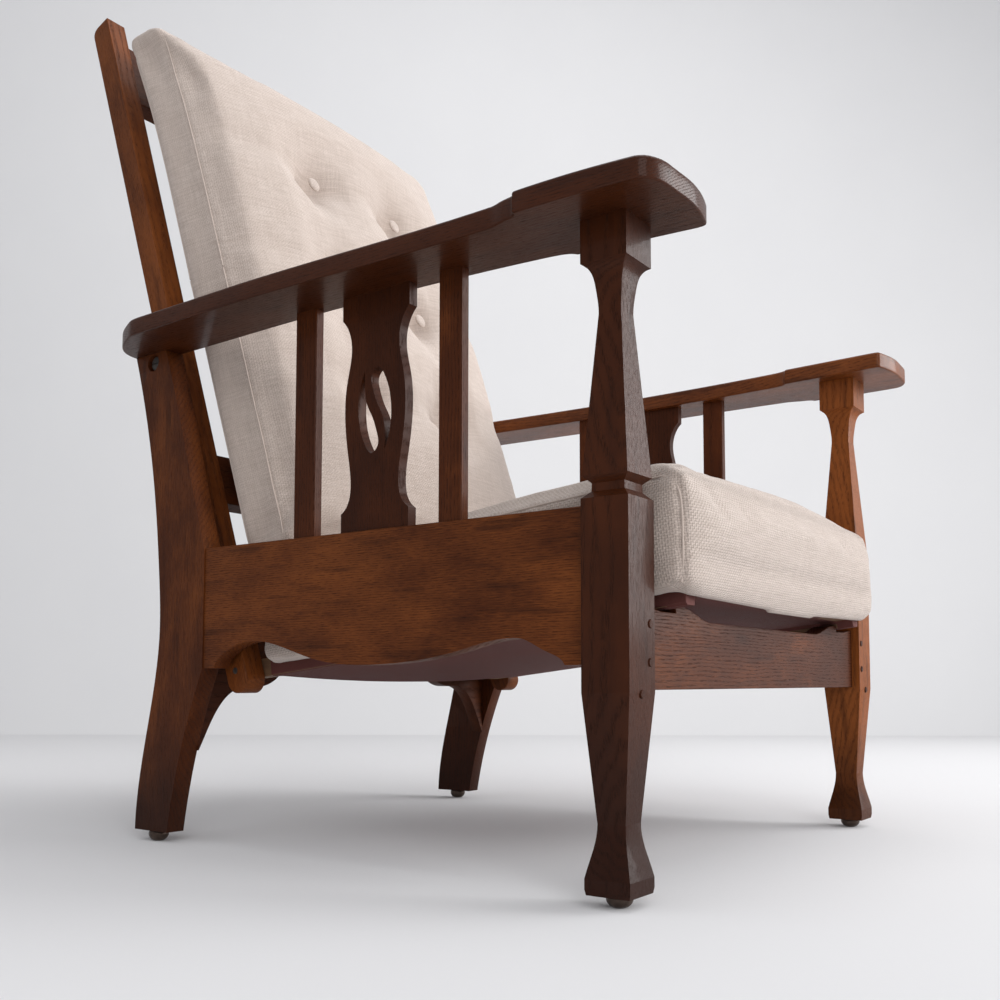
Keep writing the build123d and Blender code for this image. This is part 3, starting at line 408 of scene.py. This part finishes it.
cloth_mesh = bmesh.new()
grid = bmesh.ops.create_grid(cloth_mesh, x_segments=112, y_segments=120, size=1.0)["verts"]
flat_length = FRAME_REACH - CLOTH_START + CLOTH_TURN_UP + FRAME_TOP
for vert in grid:
    x, z = cloth_line(vert.co.x)
    run = (1 - vert.co.y) / 2 * flat_length + CLOTH_START
    lift = 0.0
    if abs(x) < RUNNER_INNER - 0.0005:
        lift = min(1.0, max(0.0, (run - CLOTH_RISE) / CLOTH_RISE_LENGTH))
    z += (CLOTH_UNDER_FRONT - z) * lift
    y = min(run, FRAME_REACH + CLOTH_OFF_FRONT)
    if run > y and z < FRAME_TOP:
        climb = (run - y) * (1 if abs(x) < RUNNER_INNER else CORNER_TUCK)
        z = min(max(z, 0.0) + climb, FRAME_TOP)
    ripple = CLOTH_RIPPLE * noise.noise(
        Vector((x * RIPPLE_SCALE, run * RIPPLE_SCALE, RIPPLE_SEED)))
    vert.co = Vector((x, -y, z + ripple * (1 if lift else 0.6)))
seat_cloth = finished("seat_base_cloth", cloth_mesh, seat_place, base_cloth(), "seat")
thickened(seat_cloth, 0.0007)
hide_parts("seat_cover_cloth")


# Seat cushion: a feather and foam cushion in coarse undyed linen. One panel
# runs over the top and down the front, with boxing sewn to it at the sides,
# and it sits over the seat frame with a lip that hides the frame's front.
LINEN_PALE = (0.605, 0.508, 0.45, 1)
LINEN_THREAD = (0.475, 0.385, 0.33, 1)
LINEN_GAP = (0.23, 0.175, 0.14, 1)


def linen(name, pitch, coarse):
    """Plain weave that follows the sewn panels: u runs across the piece and v along it."""
    cloth = Finish(name)
    panel = cloth.node("ShaderNodeUVMap", {"uv_map": "weave"})
    flat = cloth.stretch(panel, (1, 1, 0))
    wander = cloth.cloud(flat, scale=60.0)
    step = math.pi / pitch
    warp, weft = (cloth.maths("SINE", (cloth.axis(panel, letter) + wander * 0.002) * step)
                  for letter in "XY")
    over = cloth.maths("SIGN", warp * weft) * 0.5 + 0.5
    raised = (cloth.maths("ABSOLUTE", warp) * over * 0.85
              + cloth.maths("ABSOLUTE", weft) * (1.0 - over))
    slub_across, slub_along = (
        cloth.cloud(cloth.stretch(panel, along), scale=26.0, detail=3.0, roughness=0.7)
        for along in ((1, 14, 1), (14, 1, 1)))
    slubs = slub_across * 0.6 + slub_along * 0.4
    shade = cloth.cloud(flat, scale=8.0, detail=3.0)
    colour = cloth.mix(cloth.between(slubs, 0.38, 0.62), LINEN_THREAD, LINEN_PALE)
    colour = cloth.mix(cloth.between(raised, 0.42, 0.05) * coarse, colour, LINEN_GAP)
    colour = cloth.mix(cloth.between(shade, 0.45, 0.75) * 0.25, colour, LINEN_THREAD)
    cloth.surface(Base_Color=colour, Roughness=slubs * 0.1 + 0.82, Specular_IOR_Level=0.25,
                  Sheen_Weight=0.3, Sheen_Roughness=0.6)
    cloth.raised(raised * 0.7 + slubs * 0.5, distance=0.0007 * coarse + 0.0002)
    return cloth.material


LINE_CHUNK = 2000
FILLING_FRAMES = 18
FILLING_PRESSURE = 4.0
SMOOTHINGS = 3
LINE_EASINGS = 6
BOXING_FACES = 0.72
SEAM_WIDTH = 0.0045
GATHER_WIDTH = 0.018
GATHER_SHARE = 0.55
GATHER_PITCH = 0.019
GATHER_SWAY = 2.5
SWAY_SCALE = 31
SEAM_STEP = 0.008
SEAM_INSET = 0.002
SEAM_PROUD = 0.0003
THREAD_PITCH = 0.0012


def along_line(points, line):
    """Each point's distance to a line of points, and how far along it the nearest place is."""
    run, step = line[:-1], np.diff(line, axis=0)
    reach = np.linalg.norm(step, axis=1)
    stations = np.concatenate([[0], np.cumsum(reach)])
    gaps, places = np.empty(len(points)), np.empty(len(points))
    for begin in range(0, len(points), LINE_CHUNK):
        chunk = slice(begin, begin + LINE_CHUNK)
        offset = points[chunk, None, :] - run[None]
        share = np.clip((offset * step[None]).sum(2) / (step ** 2).sum(1)[None], 0, 1)
        gap = np.linalg.norm(offset - share[..., None] * step[None], axis=2)
        best = gap.argmin(1)
        rows = np.arange(len(best))
        gaps[chunk] = gap[rows, best]
        places[chunk] = stations[best] + share[rows, best] * reach[best]
    return gaps, places


def triples(items, field):
    values = np.empty(len(items) * 3)
    items.foreach_get(field, values)
    return values.reshape(-1, 3)


def ramp(values, start, length):
    """0 up to the start, growing evenly to 1 over the length; below 0 it runs downward."""
    return np.clip((values - start) / length, 0, 1)


def shifting(points, scales, seed):
    """Soft unevenness at each point, from -1 to 1, of its own for each seed."""
    places = points * np.array(scales) + seed
    return np.array([noise.noise(Vector(place)) for place in places])


def resampled(corners):
    """A line of points through corners, evenly spaced."""
    line = []
    for here, after in zip(corners, corners[1:]):
        count = max(1, round((after - here).length / SEAM_STEP))
        line += [here.lerp(after, index / count) for index in range(count)]
    return line + [corners[-1]]


class Cushion:
    """A cushion in work: a node's mesh cut to even cells, and the axes that it is shaped by."""

    def __init__(self, node, cell, origin, slope):
        self.origin = np.array(origin)
        self.turn = np.array(Matrix.Rotation(slope, 3, "X"))
        mesh = bmesh.new()
        mesh.from_mesh(nodes[node].data)
        bmesh.ops.remove_doubles(mesh, verts=mesh.verts, dist=WELD_REACH)
        data = bpy.data.meshes.new(node + "_work")
        mesh.to_mesh(data)
        mesh.free()
        self.piece = bpy.data.objects.new(node + "_work", data)
        scene.collection.objects.link(self.piece)
        cut = self.piece.modifiers.new("cells", "REMESH")
        cut.mode = "VOXEL"
        cut.voxel_size = cell
        self.bake()

    def bake(self):
        """Applies the modifiers."""
        view = bpy.context.evaluated_depsgraph_get()
        data = bpy.data.meshes.new_from_object(self.piece.evaluated_get(view), depsgraph=view)
        self.piece.modifiers.clear()
        self.piece.data = data

    def points(self):
        return triples(self.piece.data.vertices, "co")

    def normals(self):
        return triples(self.piece.data.vertex_normals, "vector")

    def local(self):
        return (self.points() - self.origin) @ self.turn.T

    def set_points(self, points):
        self.piece.data.vertices.foreach_set("co", points.ravel())
        self.piece.data.update()

    def set_local(self, local):
        self.set_points(local @ self.turn + self.origin)

    def grow(self, way):
        """Moves each point out along its normal, or in where its way is less than 0."""
        self.set_points(self.points() + self.normals() * way[:, None])

    def fill(self, held, slack, cap):
        """Draws the cover in by its slack, blows it up where it isn't held, and smooths it."""
        self.grow(-slack * (1 - held))
        self.blow_up(held, cap)
        self.smooth()

    def blow_up(self, held, cap):
        """Simulates the pressure of the filling, and caps how far each point goes."""
        start = self.points()
        group = self.piece.vertex_groups.new(name="held")
        for share in (0.25, 0.5, 0.75, 1.0):
            chosen = np.where((held > share - 0.25) & (held <= share))[0]
            group.add([int(index) for index in chosen], share, "REPLACE")
        filling = self.piece.modifiers.new("filling", "CLOTH")
        cloth = filling.settings
        cloth.quality = 5
        cloth.mass = 0.4
        cloth.tension_stiffness = 25
        cloth.compression_stiffness = 25
        cloth.bending_stiffness = 1.2
        cloth.use_pressure = True
        cloth.uniform_pressure_force = FILLING_PRESSURE
        cloth.effector_weights.gravity = 0
        cloth.vertex_group_mass = "held"
        filling.collision_settings.use_collision = False
        filling.point_cache.frame_start = 1
        filling.point_cache.frame_end = FILLING_FRAMES + 2
        for number in range(1, FILLING_FRAMES + 1):
            scene.frame_set(number)
        self.bake()
        scene.frame_set(1)
        way = self.points() - start
        length = np.linalg.norm(way, axis=1, keepdims=True)
        self.set_points(start + way * np.minimum(1.0, cap / np.maximum(length, 1e-9)))

    def smooth(self):
        mesh = bmesh.new()
        mesh.from_mesh(self.piece.data)
        for _ in range(SMOOTHINGS):
            bmesh.ops.smooth_vert(mesh, verts=mesh.verts, factor=0.5, use_axis_x=True,
                                  use_axis_y=True, use_axis_z=True)
        mesh.to_mesh(self.piece.data)
        mesh.free()

    def lay(self, lines, proud):
        """Lines of points moved onto the surface, standing proud of it, and eased."""
        mesh = bmesh.new()
        mesh.from_mesh(self.piece.data)
        tree = BVHTree.FromBMesh(mesh)
        mesh.free()
        laid = []
        for line in lines:
            moved = []
            for point in line:
                place, normal, _, _ = tree.find_nearest(point)
                moved.append(place + normal * proud)
            for _ in range(LINE_EASINGS):
                inner = [(before + here * 2 + after) / 4
                         for before, here, after in zip(moved, moved[1:], moved[2:])]
                moved = [moved[0]] + inner + [moved[-1]]
            laid.append(moved)
        return laid

    def sew(self, seams, depth, seed):
        """Draws the cover in along its seams, with small gathers in the cloth beside them."""
        points = self.points()
        drawn = np.zeros(len(points))
        for seam in seams:
            gap, place = along_line(points, np.array(seam))
            turns = place * 2 * math.pi / GATHER_PITCH
            sway = GATHER_SWAY * np.sin(place * SWAY_SCALE + seed)
            gather = 0.5 + 0.5 * np.sin(turns + sway)
            drawn += (depth * np.exp(-(gap / SEAM_WIDTH) ** 2)
                      + depth * GATHER_SHARE * gather * np.exp(-(gap / GATHER_WIDTH) ** 2))
        self.grow(-drawn)

    def roughen(self, places, waves, held):
        """Makes the cover uneven by waves, each told by its scales, seed and height."""
        uneven = sum(height * shifting(places, scales, seed) for scales, seed, height in waves)
        self.grow(uneven * (1 - held))

    def unwrap(self, profile):
        """Lays the weave on the boxing by depth and height, and on the rest round its profile."""
        data, local = self.piece.data, self.local()
        faces = triples(data.polygons, "normal") @ self.turn.T
        boxing = np.abs(faces[:, 0]) > BOXING_FACES
        _, round_panel = along_line(local[:, 1:], np.array(profile))
        corners = np.empty(len(data.loops), dtype=np.int32)
        data.loops.foreach_get("vertex_index", corners)
        totals = np.empty(len(data.polygons), dtype=np.int32)
        data.polygons.foreach_get("loop_total", totals)
        on_side = np.repeat(boxing, totals)
        across = np.where(on_side, local[corners, 1], local[corners, 0])
        along = np.where(on_side, local[corners, 2], round_panel[corners])
        layer = data.uv_layers.new(name="weave")
        layer.data.foreach_set("uv", np.stack([across, along], 1).ravel())

    def finish(self, name, profile, material, body):
        """Makes it a padded piece of linen on its body."""
        self.unwrap(profile)
        piece, data = self.piece, self.piece.data
        piece.name = name
        data.name = name
        data.materials.clear()
        data.materials.append(material)
        data.polygons.foreach_set("use_smooth", [True] * len(data.polygons))
        rounder(piece, "finer")
        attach(piece, body)
        return piece


def rounder(piece, name):
    finer = piece.modifiers.new(name, "SUBSURF")
    finer.levels = 1
    finer.render_levels = 1


def welt(name, lines, radius, material, body):
    """A thin rolled seam that follows lines of points, closed at its ends."""
    mesh = bmesh.new()
    for line in lines:
        ring = bmesh.ops.create_circle(mesh, cap_ends=True, radius=radius, segments=8)["verts"]
        heading = (line[1] - line[0]).normalized()
        turn = heading.to_track_quat("Z", "Y").to_matrix()
        bmesh.ops.rotate(mesh, verts=ring, matrix=turn)
        bmesh.ops.translate(mesh, verts=ring, vec=line[0])
        face = ring[0].link_faces[0]
        for before, here, after in zip(line, line[1:], line[2:] + [line[-1] * 2 - line[-2]]):
            face = bmesh.ops.extrude_discrete_faces(mesh, faces=[face])["faces"][0]
            next_heading = (after - before).normalized()
            swing = heading.rotation_difference(next_heading).to_matrix()
            bmesh.ops.translate(mesh, verts=face.verts, vec=here - before)
            bmesh.ops.rotate(mesh, verts=face.verts, cent=here, matrix=swing)
            heading = next_heading
    bmesh.ops.recalc_face_normals(mesh, faces=mesh.faces)
    return finished(name, mesh, Matrix.Identity(4), material, body)


SEAT_HALF = 0.291
SEAT_FRONT = 0.6
SEAT_EDGE = 0.124
SEAT_RESTS = 0.034
SEAT_REST_FADE = 0.012
SEAT_OVERHANG = 0.262
SEAT_SEAM = ((-SEAT_FRONT + 0.002, -0.004), (-SEAT_FRONT - 0.009, SEAT_EDGE * 0.8),
             (-SEAT_FRONT - 0.002, SEAT_EDGE * 0.94), (-0.56, SEAT_EDGE), (-0.42, SEAT_EDGE),
             (-0.2, SEAT_EDGE * 0.94), (-0.05, SEAT_EDGE * 0.86), (-0.04, 0.03))
SEAT_PROFILE = ((-0.04, 0.02), (-0.04, 0.11), (-0.2, 0.135), (-0.38, 0.148), (-0.54, 0.143),
                (-0.594, 0.136), (-0.612, 0.112), (-0.604, 0.05), (-0.598, -0.002),
                (-0.588, -0.008))
SEAT_WAVES = (((6.0, 6.0, 6.0), 3.7, 0.0016), ((17.0, 22.0, 17.0), 9.1, 0.0006))

seat = Cushion("seat_cushion", 0.006, LINK_PIN, SEAT_SLOPE)
seat_local = seat.local()
rests = ramp(seat_local[:, 2], SEAT_RESTS, -SEAT_REST_FADE)
rests = np.where(np.abs(seat_local[:, 0]) > SEAT_OVERHANG, rests * 0.5, rests)
seat.fill(rests, slack=0.004, cap=0.009)
seat_paths = []
for side in (-1, 1):
    edge = side * (SEAT_HALF - SEAM_INSET)
    path = resampled([Vector((edge, y, z)) for y, z in SEAT_SEAM])
    seat_paths.append([seat_place @ point for point in path])
seat_seams = seat.lay(seat_paths, 0.0)
seat.sew(seat_seams, depth=0.0022, seed=1.3)
seat.roughen(seat.points(), SEAT_WAVES, rests)
seat_linen = linen("seat linen", pitch=0.0025, coarse=0.9)
seat_pad = seat.finish("seat_pad", SEAT_PROFILE, seat_linen, "seat")
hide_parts("seat_cushion")
seat_thread = linen("seam thread", THREAD_PITCH, coarse=0.5)
welt("seat_seams", seat.lay(seat_seams, SEAM_PROUD), 0.0011, seat_thread, "seat")

# Back cushion: the same linen, boxed all round and tufted with six covered
# buttons that are pulled into the filling by twine through to the back panel.
BACK_PIVOT = Vector((0.0, 0.280663, 0.602))
BACK_HALF = 0.283
BACK_LOW = -0.306
BACK_TOP = 0.478
SEAM_FRONT = 0.124
SEAM_REAR = 0.060
SEAM_CORNER = 0.01
CREST_START = 0.25
CREST_LENGTH = 0.22
CREST_BACK = 0.011
CREST_UP = 0.006
EDGE_BACK = 0.006
EDGE_OUT = 0.02
EAR_OUT = 0.02
EAR_UP = 0.022
SEAM_START = 0.1
SEAM_GAP = 0.002
FOLD_END = 0.27
FOLD_RISE = 0.03
FRONT_PANEL = 0.118
FRONT_FADE = 0.012
PLEATS = 7
PLEAT_DEPTH = 0.0011
PLEAT_MIDDLE = 0.019
PLEAT_WIDTH = 0.009
TUFT_DEPTH = 0.004
TUFT_WIDTH = 0.05
TUFT_HOLD = 0.02
TUFT_HOLD_FADE = 0.009
BUTTON_ACROSS = 0.088
BUTTON_MIDDLE = 0.105
BUTTON_PITCH = 0.171
BUTTON_ROWS = [BUTTON_MIDDLE + BUTTON_PITCH * step for step in (-1, 0, 1)]
BACK_PROFILE = ((-0.05, -0.29), (-0.02, -0.16), (-0.018, 0.1), (-0.03, 0.4), (-0.06, 0.478),
                (-0.124, 0.478), (-0.15, 0.33), (-0.163, 0.1), (-0.15, -0.17), (-0.124, -0.306),
                (-0.06, -0.306))
BACK_WAVES = (((4.0, 5.0, 9.0), 5.5, 0.0018), ((9.0, 12.0, 42.0), 2.2, 0.0007))
back_place = Matrix.Translation(BACK_PIVOT) @ Matrix.Rotation(-BACK_LEAN, 4, "X")
tufts = [(side * BUTTON_ACROSS, row) for row in BUTTON_ROWS for side in (-1, 1)]


def from_tuft(local, x, z):
    """Each point's distance to a tuft's middle, seen from the front, and its direction."""
    aside, above = local[:, 0] - x, local[:, 2] - z
    return np.hypot(aside, above), np.arctan2(above, aside)


def fold_lines():
    """Folds between buttons and out to the seams: two ends, depth, width, whether both hold."""
    for row in BUTTON_ROWS:
        yield (-BUTTON_ACROSS, row), (BUTTON_ACROSS, row), 0.0085, 0.02, True
        for side in (-1, 1):
            outer = (side * FOLD_END, row + FOLD_RISE)
            yield (side * BUTTON_ACROSS, row), outer, 0.006, 0.022, False
    for low, high in zip(BUTTON_ROWS, BUTTON_ROWS[1:]):
        for side in (-1, 1):
            yield (side * BUTTON_ACROSS, low), (side * BUTTON_ACROSS, high), 0.0065, 0.02, True


def tuft_folds(local):
    """How far the front panel is drawn in by the folds and by the tufts themselves."""
    drawn = np.zeros(len(local))
    for start, end, depth, width, both_held in fold_lines():
        gap, place = along_line(local[:, [0, 2]], np.array([start, end]))
        length = math.hypot(end[0] - start[0], end[1] - start[1])
        fade = np.abs(place / length - 0.5) * 2 if both_held else 1 - place / length
        drawn += depth * (0.35 + 0.65 * np.clip(fade, 0, 1)) * np.exp(-(gap / width) ** 2)
    for x, z in tufts:
        reach, angle = from_tuft(local, x, z)
        pleat = np.exp(-((reach - PLEAT_MIDDLE) / PLEAT_WIDTH) ** 2)
        drawn += PLEAT_DEPTH * np.cos(angle * PLEATS) * pleat
        drawn += TUFT_DEPTH * np.exp(-(reach / TUFT_WIDTH) ** 2)
    return drawn * ramp(local[:, 1], -FRONT_PANEL, -FRONT_FADE)


def back_seam(depth):
    """The seam's line round the cushion at one depth, shifted as the cushion is shaped."""
    side, low, high = BACK_HALF - SEAM_INSET, BACK_LOW + SEAM_INSET, BACK_TOP - SEAM_INSET
    corners = ((-side, SEAM_START), (-side, high - SEAM_CORNER), (-side + SEAM_CORNER, high),
               (side - SEAM_CORNER, high), (side, high - SEAM_CORNER), (side, low + SEAM_CORNER),
               (side - SEAM_CORNER, low), (-side + SEAM_CORNER, low), (-side, low + SEAM_CORNER),
               (-side, SEAM_START - SEAM_GAP))
    line = []
    for point in resampled([Vector((across, -depth, up)) for across, up in corners]):
        crest = max(0, (point.z - CREST_START) / CREST_LENGTH) ** 2
        shaped = Vector((point.x * (1 + EDGE_OUT), point.y + EDGE_BACK + CREST_BACK * crest,
                         point.z + CREST_UP * crest))
        line.append(back_place @ shaped)
    return line


back_linen = linen("back linen", pitch=0.0022, coarse=0.34)
back = Cushion("back_cushion", 0.007, BACK_PIVOT, BACK_LEAN)
back_local = back.local()
pulled = np.zeros(len(back_local))
for x, z in tufts:
    reach, _ = from_tuft(back_local, x, z)
    held = np.where(back_local[:, 1] < -0.1, ramp(reach, TUFT_HOLD, -TUFT_HOLD_FADE), 0)
    pulled = np.maximum(pulled, held)
back_normal = back.normals() @ back.turn.T
pulled = np.maximum(pulled, np.clip(back_normal[:, 1] * 2.0 - 0.4, 0, 1))
back.fill(pulled, slack=0.005, cap=0.014)

back_local = back.local()
aside, upward = np.abs(back_local[:, 0]), back_local[:, 2]
edge = ramp(aside, 0.15, 0.13) ** 2
crest = ramp(upward, CREST_START, CREST_LENGTH) ** 2
ears = ramp(aside, 0.19, 0.09) ** 2 * ramp(upward, 0.36, 0.11) ** 2
back_local[:, 0] *= 1.0 + EDGE_OUT * edge + EAR_OUT * ears
back_local[:, 1] += EDGE_BACK * edge + CREST_BACK * crest
back_local[:, 2] += CREST_UP * crest + EAR_UP * ears
back.set_local(back_local)
back.grow(-tuft_folds(back.local()))
back_seams = back.lay([back_seam(SEAM_FRONT - 0.001), back_seam(SEAM_REAR + 0.001)], 0.0)
back.sew(back_seams, depth=0.0016, seed=4.2)
back.roughen(back.local(), BACK_WAVES, pulled)
back_pad = back.finish("back_pad", BACK_PROFILE, back_linen, "back")
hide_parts("back_cushion")
back_thread = linen("back seam thread", THREAD_PITCH, coarse=0.4)
welt("back_seams", back.lay(back_seams, SEAM_PROUD), 0.0010, back_thread, "back")

BUTTON_SEAT = 0.1452
BUTTON_RADIUS = 0.0105
BUTTON_FOOT = 0.72
BUTTON_DOME = ((0.93, 0.0004), (1.0, 0.0015), (0.985, 0.0026), (0.9, 0.0037), (0.7, 0.0047),
               (0.4, 0.0053))
buttons = bmesh.new()
for x, z in tufts:
    radius = BUTTON_RADIUS * BUTTON_FOOT
    made = list(bmesh.ops.create_circle(buttons, segments=28, radius=radius)["verts"])
    edges = list(dict.fromkeys(edge for vert in made for edge in vert.link_edges))
    for share, rise in BUTTON_DOME:
        grown = bmesh.ops.extrude_edge_only(buttons, edges=edges)["geom"]
        verts = [item for item in grown if isinstance(item, bmesh.types.BMVert)]
        edges = [item for item in grown if isinstance(item, bmesh.types.BMEdge)]
        for vert in verts:
            spot = Vector((vert.co.x, vert.co.y, 0)).normalized() * BUTTON_RADIUS * share
            vert.co = Vector((spot.x, spot.y, rise))
        made += verts
    bmesh.ops.contextual_create(buttons, geom=edges)
    bmesh.ops.rotate(buttons, verts=made, matrix=Matrix.Rotation(QUARTER_TURN, 3, "X"))
    bmesh.ops.translate(buttons, verts=made, vec=(x, -BUTTON_SEAT, z))
weave = buttons.loops.layers.uv.new("weave")
for face in buttons.faces:
    face.smooth = True
    for loop in face.loops:
        loop[weave].uv = (loop.vert.co.x, loop.vert.co.z)
bmesh.ops.recalc_face_normals(buttons, faces=buttons.faces)
button_piece = finished("tuft_buttons", buttons, back_place, back_linen, "back")
rounder(button_piece, "round")
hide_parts("cushion_buttons")

# Studio: a pale painted floor that meets a pale plaster wall, wide soft light
# from the front right, and the eye low beside the left arm.
HEADING = math.radians(35.16)
ROOM_HALF = 7.0
WALL_AWAY = 2.5
WALL_HEIGHT = 4.5
room = bmesh.new()
outline = [room.verts.new((-ROOM_HALF, y, z))
           for y, z in ((-ROOM_HALF, 0.0), (WALL_AWAY, 0.0), (WALL_AWAY, WALL_HEIGHT))]
sides = [room.edges.new(pair) for pair in zip(outline, outline[1:])]
grown = bmesh.ops.extrude_edge_only(room, edges=sides)["geom"]
bmesh.ops.translate(room, verts=[item for item in grown if isinstance(item, bmesh.types.BMVert)],
                    vec=(ROOM_HALF * 2, 0, 0))
bmesh.ops.rotate(room, verts=room.verts, matrix=Matrix.Rotation(HEADING - QUARTER_TURN, 3, "Z"))
bmesh.ops.recalc_face_normals(room, faces=room.faces)
room_data = bpy.data.meshes.new("studio")
room.to_mesh(room_data)
room.free()
backdrop = bpy.data.objects.new("studio", room_data)
scene.collection.objects.link(backdrop)
paint = Finish("floor paint")
wear = paint.cloud(paint.place(), scale=3.0, detail=4.0, roughness=0.6)
paint.surface(Base_Color=paint.mix(wear, (0.84, 0.835, 0.845, 1), (0.88, 0.875, 0.88, 1)),
              Roughness=wear * 0.13 + 0.06)
plaster = Finish("wall plaster")
plaster.surface(Base_Color=(0.77, 0.765, 0.775, 1), Roughness=0.85)
room_data.materials.append(paint.material)
room_data.materials.append(plaster.material)
for index, face in enumerate(room_data.polygons):
    face.material_index = index
    face.use_smooth = True

world = bpy.data.worlds.new("studio air")
scene.world = world
world.use_nodes = True
air = world.node_tree.nodes["Background"].inputs
air["Color"].default_value = (0.96, 0.97, 1.0, 1)
air["Strength"].default_value = 0.5


def softbox(name, place, aim, size, power, spread=180):
    lamp = bpy.data.lights.new(name, "AREA")
    lamp.shape = "RECTANGLE"
    lamp.size, lamp.size_y = size
    lamp.energy = power
    lamp.spread = math.radians(spread)
    holder = bpy.data.objects.new(name, lamp)
    holder.location = place
    holder.rotation_euler = (Vector(aim) - Vector(place)).to_track_quat("-Z", "Y").to_euler()
    scene.collection.objects.link(holder)


beyond = Vector((math.cos(HEADING), math.sin(HEADING), 0.0))
softbox("window", (2.3, -2.9, 1.5), (0.0, 0.0, 0.5), (3.2, 2.2), power=56, spread=104)
softbox("side fill", (-2.3, -2.3, 1.5), (0.0, 0.0, 0.45), (1.8, 1.8), power=22)
softbox("top light", (0.2, -0.4, 3.2), (0.1, 0.1, 0.4), (2.6, 2.6), power=36)
softbox("wall wash", beyond * 1.2 + Vector((0, 0, 3.3)), beyond * WALL_AWAY + Vector((0, 0, 0.9)),
        (4.5, 0.8), power=8)

PITCH = math.radians(3.889)
ROLL = math.radians(0.068)
EYE_PLACE = Vector((-1.17022, -0.862117, 0.19792))
eye = bpy.data.cameras.new("eye")
eye.sensor_width = 36.0
eye.lens = 38.92
eye.shift_y = 0.10707
eye.clip_end = 50.0
camera = bpy.data.objects.new("eye", eye)
ahead = Vector((math.cos(PITCH) * math.cos(HEADING), math.cos(PITCH) * math.sin(HEADING),
                math.sin(PITCH)))
right = ahead.cross(Vector((0, 0, 1))).normalized()
over = right.cross(ahead)
level = right * math.cos(ROLL) + over * math.sin(ROLL)
upright = over * math.cos(ROLL) - right * math.sin(ROLL)
stand = Matrix((level, upright, -ahead)).transposed().to_4x4()
stand.translation = EYE_PLACE
camera.matrix_world = stand
scene.collection.objects.link(camera)
scene.camera = camera
scene.view_settings.view_transform = "Standard"
